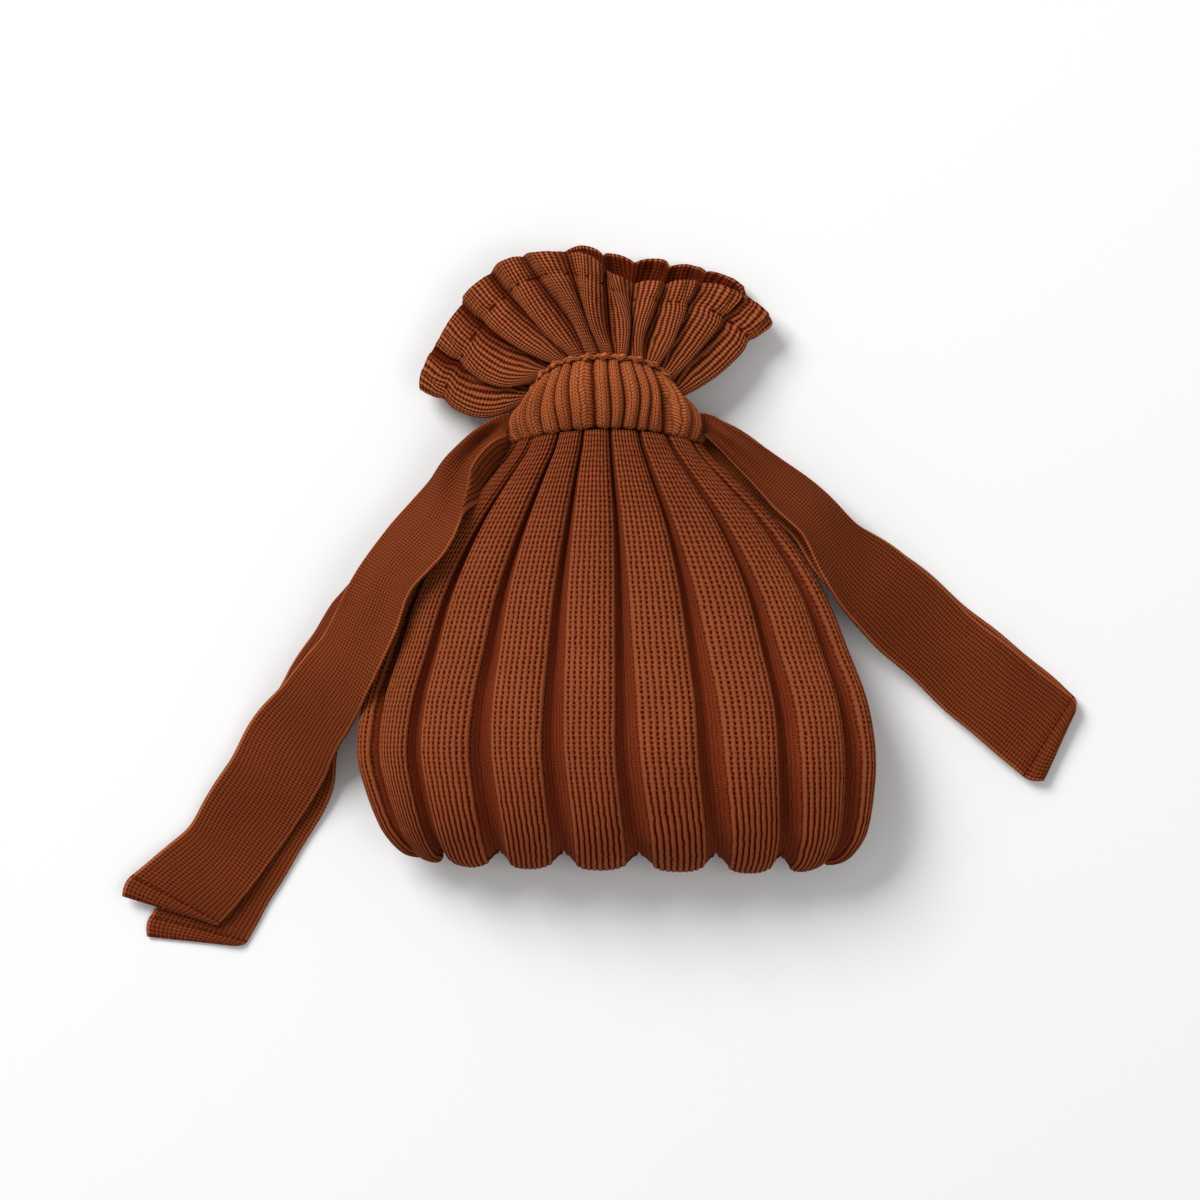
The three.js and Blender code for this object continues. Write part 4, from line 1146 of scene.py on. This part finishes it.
class Knit:
    """A knit material: its tree, the stitch coordinates of the piece and the nodes that every knit shares."""

    def __init__(self, name, stray=STITCH_STRAY):
        """Stitch coordinates are the even ones, plus stray times a noise that is 0 on average."""
        self.material = bpy.data.materials.new(name)
        self.material.use_nodes = True
        self.tree = self.material.node_tree
        self.surface = self.tree.nodes["Principled BSDF"]
        even = add_node(self.tree, "ShaderNodeUVMap", uv_map="Stitch").outputs["UV"]
        place = add_node(self.tree, "ShaderNodeTexCoord").outputs["Object"]
        noise = add_node(self.tree, "ShaderNodeTexNoise", {"Vector": place, "Scale": STITCH_STRAY_SCALE})
        off_place = self.vector("SUBTRACT", noise.outputs["Color"], (0.5, 0.5, 0.5))
        self.stitch = self.vector("MULTIPLY_ADD", off_place, stray, even)

    def group(self, key, **inputs):
        """The outputs of a stitch group whose inputs are given by name, with _ for a space."""
        labelled = {label.replace("_", " ").title(): value for label, value in inputs.items()}
        return add_node(self.tree, "ShaderNodeGroup", labelled, node_tree=GROUPS[key]).outputs

    def attribute(self, name):
        """A value that the piece's mesh carries for each of its points."""
        return add_node(self.tree, "ShaderNodeAttribute", attribute_name=name).outputs["Fac"]

    def vector(self, operation, *values):
        """The result of an operation on vectors or sockets."""
        inputs = dict(enumerate(values))
        return add_node(self.tree, "ShaderNodeVectorMath", inputs, operation=operation).outputs[0]

    def scaled(self, across, along):
        """The stitch coordinates times a factor across the columns and one along them."""
        return self.vector("MULTIPLY", self.stitch, (across, along, 1))

    def column(self):
        """The place across the piece in stitch columns."""
        return add_node(self.tree, "ShaderNodeSeparateXYZ", {"Vector": self.stitch}).outputs["X"]

    def finish(self, yarn, height, gap_shade, light, bump, tone_amount):
        """Colour from painted shade in the gaps to light on the yarn, times the tone; roughness, sheen and
        bump.
        """
        tree = self.tree
        tone = self.group("tone", amount=tone_amount)
        # Painted shade: the gaps between stitches and the open stitches take the dark colour.
        colour = blend(tree, yarn, linear(gap_shade), light)
        fibre = calc(tree, "MULTIPLY_ADD", tone["Fibre"], FIBRE_HEIGHT, height)
        relief = {"Height": fibre, "Strength": BUMP_STRENGTH, "Distance": bump}
        looks = {
            "Base Color": blend(tree, 1.0, colour, tone["Tone"], "MULTIPLY"),
            "Roughness": calc(tree, "MULTIPLY_ADD", yarn, YARN_ROUGHNESS_LESS, GAP_ROUGHNESS),
            "Sheen Weight": SHEEN_WEIGHT,
            "Sheen Roughness": SHEEN_ROUGHNESS,
            "Sheen Tint": linear(SHEEN_TINT),
            "Specular IOR Level": SPECULAR_LEVEL,
            "Normal": add_node(tree, "ShaderNodeBump", relief).outputs["Normal"],
        }
        for label, value in looks.items():
            set_input(tree, self.surface.inputs[label], value)
        return self.material


def body_material():
    """Ribs of stitch columns, with bridges on the belly and joints towards the neck, and fine V stitches in
    the furrows, whose yarn is painted darker as shade."""
    knit = Knit("body_knit")
    tree = knit.tree
    along = knit.attribute("along")
    in_furrow = knit.attribute("in_furrow")
    open_knit = calc(tree, "MULTIPLY", ramp(tree, along, *BRIDGES_COME), ramp(tree, along, *BRIDGES_GO))
    bars = knit.group(
        "columns",
        stitch=knit.stitch,
        line_width=BODY_BARS["line_width"],
        bridges=calc(tree, "MULTIPLY", open_knit, BODY_BARS["bridges"]),
        joints=calc(tree, "MULTIPLY", ramp(tree, along, *JOINTS_COME), BODY_BARS["joints"]),
    )
    plain = knit.group("plait", stitch=knit.scaled(*FURROW_STITCH_SCALE), slant=FURROW_SLANT)
    low = calc(tree, "MULTIPLY", plain["Height"], FURROW_STITCH_HEIGHT)
    yarn = mix_values(tree, in_furrow, bars["Yarn"], plain["Yarn"])
    height = mix_values(tree, in_furrow, bars["Height"], low)
    # Painted shade: the furrows' yarn takes a darker colour than the ribs.
    light = blend(tree, in_furrow, linear(BODY_LIGHT), linear(FURROW_YARN_PAINTED_SHADE))
    return knit.finish(yarn, height, BODY_GAP_PAINTED_SHADE, light, **BODY_FINISH)


def casing_material():
    """Plain V stitches whose colour darkens in the furrows as painted shade."""
    knit = Knit("casing_knit")
    plait = knit.group("plait", stitch=knit.stitch, slant=CASING_SLANT)
    # Painted shade: the yarn's colour darkens in the furrows of the folds.
    painted_shade = ramp(knit.tree, knit.attribute("in_furrow"), *CASING_DARKENS)
    light = blend(knit.tree, painted_shade, linear(CASING_LIGHT), linear(CASING_GROOVE_PAINTED_SHADE))
    return knit.finish(plait["Yarn"], plait["Height"], GAP_PAINTED_SHADE, light, **CASING_FINISH)


def ruffle_material():
    """Stitch columns whose colour darkens with painted shade in the furrows and on the inner face, with open
    stitches along the hem in some columns, picked by a random number for each column."""
    knit = Knit("ruffle_knit")
    tree = knit.tree
    bars = knit.group("columns", stitch=knit.stitch, **RUFFLE_BARS)
    hem = calc(tree, "ABSOLUTE", calc(tree, "SUBTRACT", knit.attribute("rim_distance"), RUFFLE_HEM))
    side = stitch_place(tree, knit.stitch)[0]
    number = {"W": calc(tree, "FLOOR", knit.column())}
    chance = add_node(tree, "ShaderNodeTexWhiteNoise", number, noise_dimensions="1D").outputs["Value"]
    in_reach = ramp(tree, hem, *RUFFLE_HOLE_REACH)
    hole = calc(tree, "MULTIPLY", in_reach, ramp(tree, side, *RUFFLE_HOLE_WIDTH))
    hole = calc(tree, "MULTIPLY", hole, ramp(tree, chance, *RUFFLE_HOLE_CHANCE))
    yarn = calc(tree, "MULTIPLY", bars["Yarn"], calc(tree, "SUBTRACT", 1.0, hole))
    # Painted shade: the colour darkens with the furrows' depth and on the inner face.
    painted_shade = ramp(tree, knit.attribute("furrow"), *RUFFLE_DARKENS)
    light = blend(tree, painted_shade, linear(RUFFLE_LIGHT), linear(RUFFLE_GROOVE_PAINTED_SHADE))
    return knit.finish(yarn, bars["Height"], GAP_PAINTED_SHADE, light, **RUFFLE_FINISH)


def strap_material():
    """A fine grid of stitches with a row of open ones along each hem, lighter edges, and a painted highlight
    on the lip.
    """
    knit = Knit("drawstring_knit", STRAP_STITCH_STRAY)
    tree = knit.tree
    bars = knit.group("columns", stitch=knit.stitch, **STRAP_BARS)
    stitches = knit.group("columns", stitch=knit.scaled(*HEM_STITCH_SCALE), **HEM_STITCHES)
    hem = calc(tree, "ABSOLUTE", calc(tree, "SUBTRACT", knit.attribute("end_distance"), STRAP_HEM))
    hole = calc(tree, "MULTIPLY", ramp(tree, hem, *STRAP_HOLE_REACH), stitches["Yarn"])
    closed = calc(tree, "MULTIPLY_ADD", hole, STRAP_HOLE_DARKNESS, 1.0)
    yarn = calc(tree, "MULTIPLY", bars["Yarn"], closed)
    across = calc(tree, "FRACT", calc(tree, "DIVIDE", knit.column(), STRAP_WALES))
    off_middle = calc(tree, "ABSOLUTE", calc(tree, "SUBTRACT", across, 0.5))
    # Lighter colour on the edges, and a painted highlight along the lip.
    edge = calc(tree, "MAXIMUM", ramp(tree, off_middle, *STRAP_EDGE_BEGINS), knit.attribute("lip_highlight"))
    light = blend(tree, edge, linear(STRAP_LIGHT), linear(STRAP_EDGE_AND_LIP_HIGHLIGHT))
    return knit.finish(yarn, bars["Height"], STRAP_GAP_PAINTED_SHADE, light, **STRAP_FINISH)


def plain_material(name, colour):
    """A matt material of one colour."""
    material = bpy.data.materials.new(name)
    material.use_nodes = True
    surface = material.node_tree.nodes["Principled BSDF"]
    surface.inputs["Base Color"].default_value = colour
    surface.inputs["Roughness"].default_value = FLOOR_ROUGHNESS
    return material


# Pieces

body = build_body(body_material())
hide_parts("bag_body")
casing_knit = casing_material()
casing = build_casing(casing_knit)
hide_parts("neck_casing")
seam = build_seam(casing_knit)
ruffle = build_ruffle(ruffle_material())
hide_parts("ruffle")
strap_knit = strap_material()
for level, node in enumerate(("front_drawstring", "back_drawstring")):
    strap = build_strap(node + "_knit", level, strap_knit)
    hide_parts(node)

# Stage, light and camera

floor_mesh = bpy.data.meshes.new("floor")
corner = FLOOR_HALF_SIZE
floor_corners = [(-corner, -corner, 0), (corner, -corner, 0), (corner, corner, 0), (-corner, corner, 0)]
floor_mesh.from_pydata(floor_corners, [], [(0, 1, 2, 3)])
floor_mesh.materials.append(plain_material("floor_white", FLOOR_WHITE))
floor = bpy.data.objects.new("floor", floor_mesh)
floor.location.z = -FLOOR_CLEARANCE
bpy.context.scene.collection.objects.link(floor)

for name, place, size, power in LIGHTS:
    data = bpy.data.lights.new(name, "AREA")
    data.size = size
    data.energy = power
    lamp = bpy.data.objects.new(name, data)
    lamp.location = place
    lamp.rotation_euler = (-Vector(place)).to_track_quat("-Z", "Y").to_euler()
    bpy.context.scene.collection.objects.link(lamp)

world = bpy.data.worlds.new("studio")
world.use_nodes = True
world.node_tree.nodes["Background"].inputs["Color"].default_value = (1, 1, 1, 1)
world.node_tree.nodes["Background"].inputs["Strength"].default_value = WORLD_STRENGTH
bpy.context.scene.world = world
bpy.context.scene.view_settings.view_transform = "Standard"

camera_data = bpy.data.cameras.new("camera")
camera_data.sensor_width = SENSOR_WIDTH
camera_data.lens = SENSOR_WIDTH * CAMERA_HEIGHT / FRAME_WIDTH
camera = bpy.data.objects.new("camera", camera_data)
camera.location = (0, 0, CAMERA_HEIGHT)
bpy.context.scene.collection.objects.link(camera)
bpy.context.scene.camera = camera
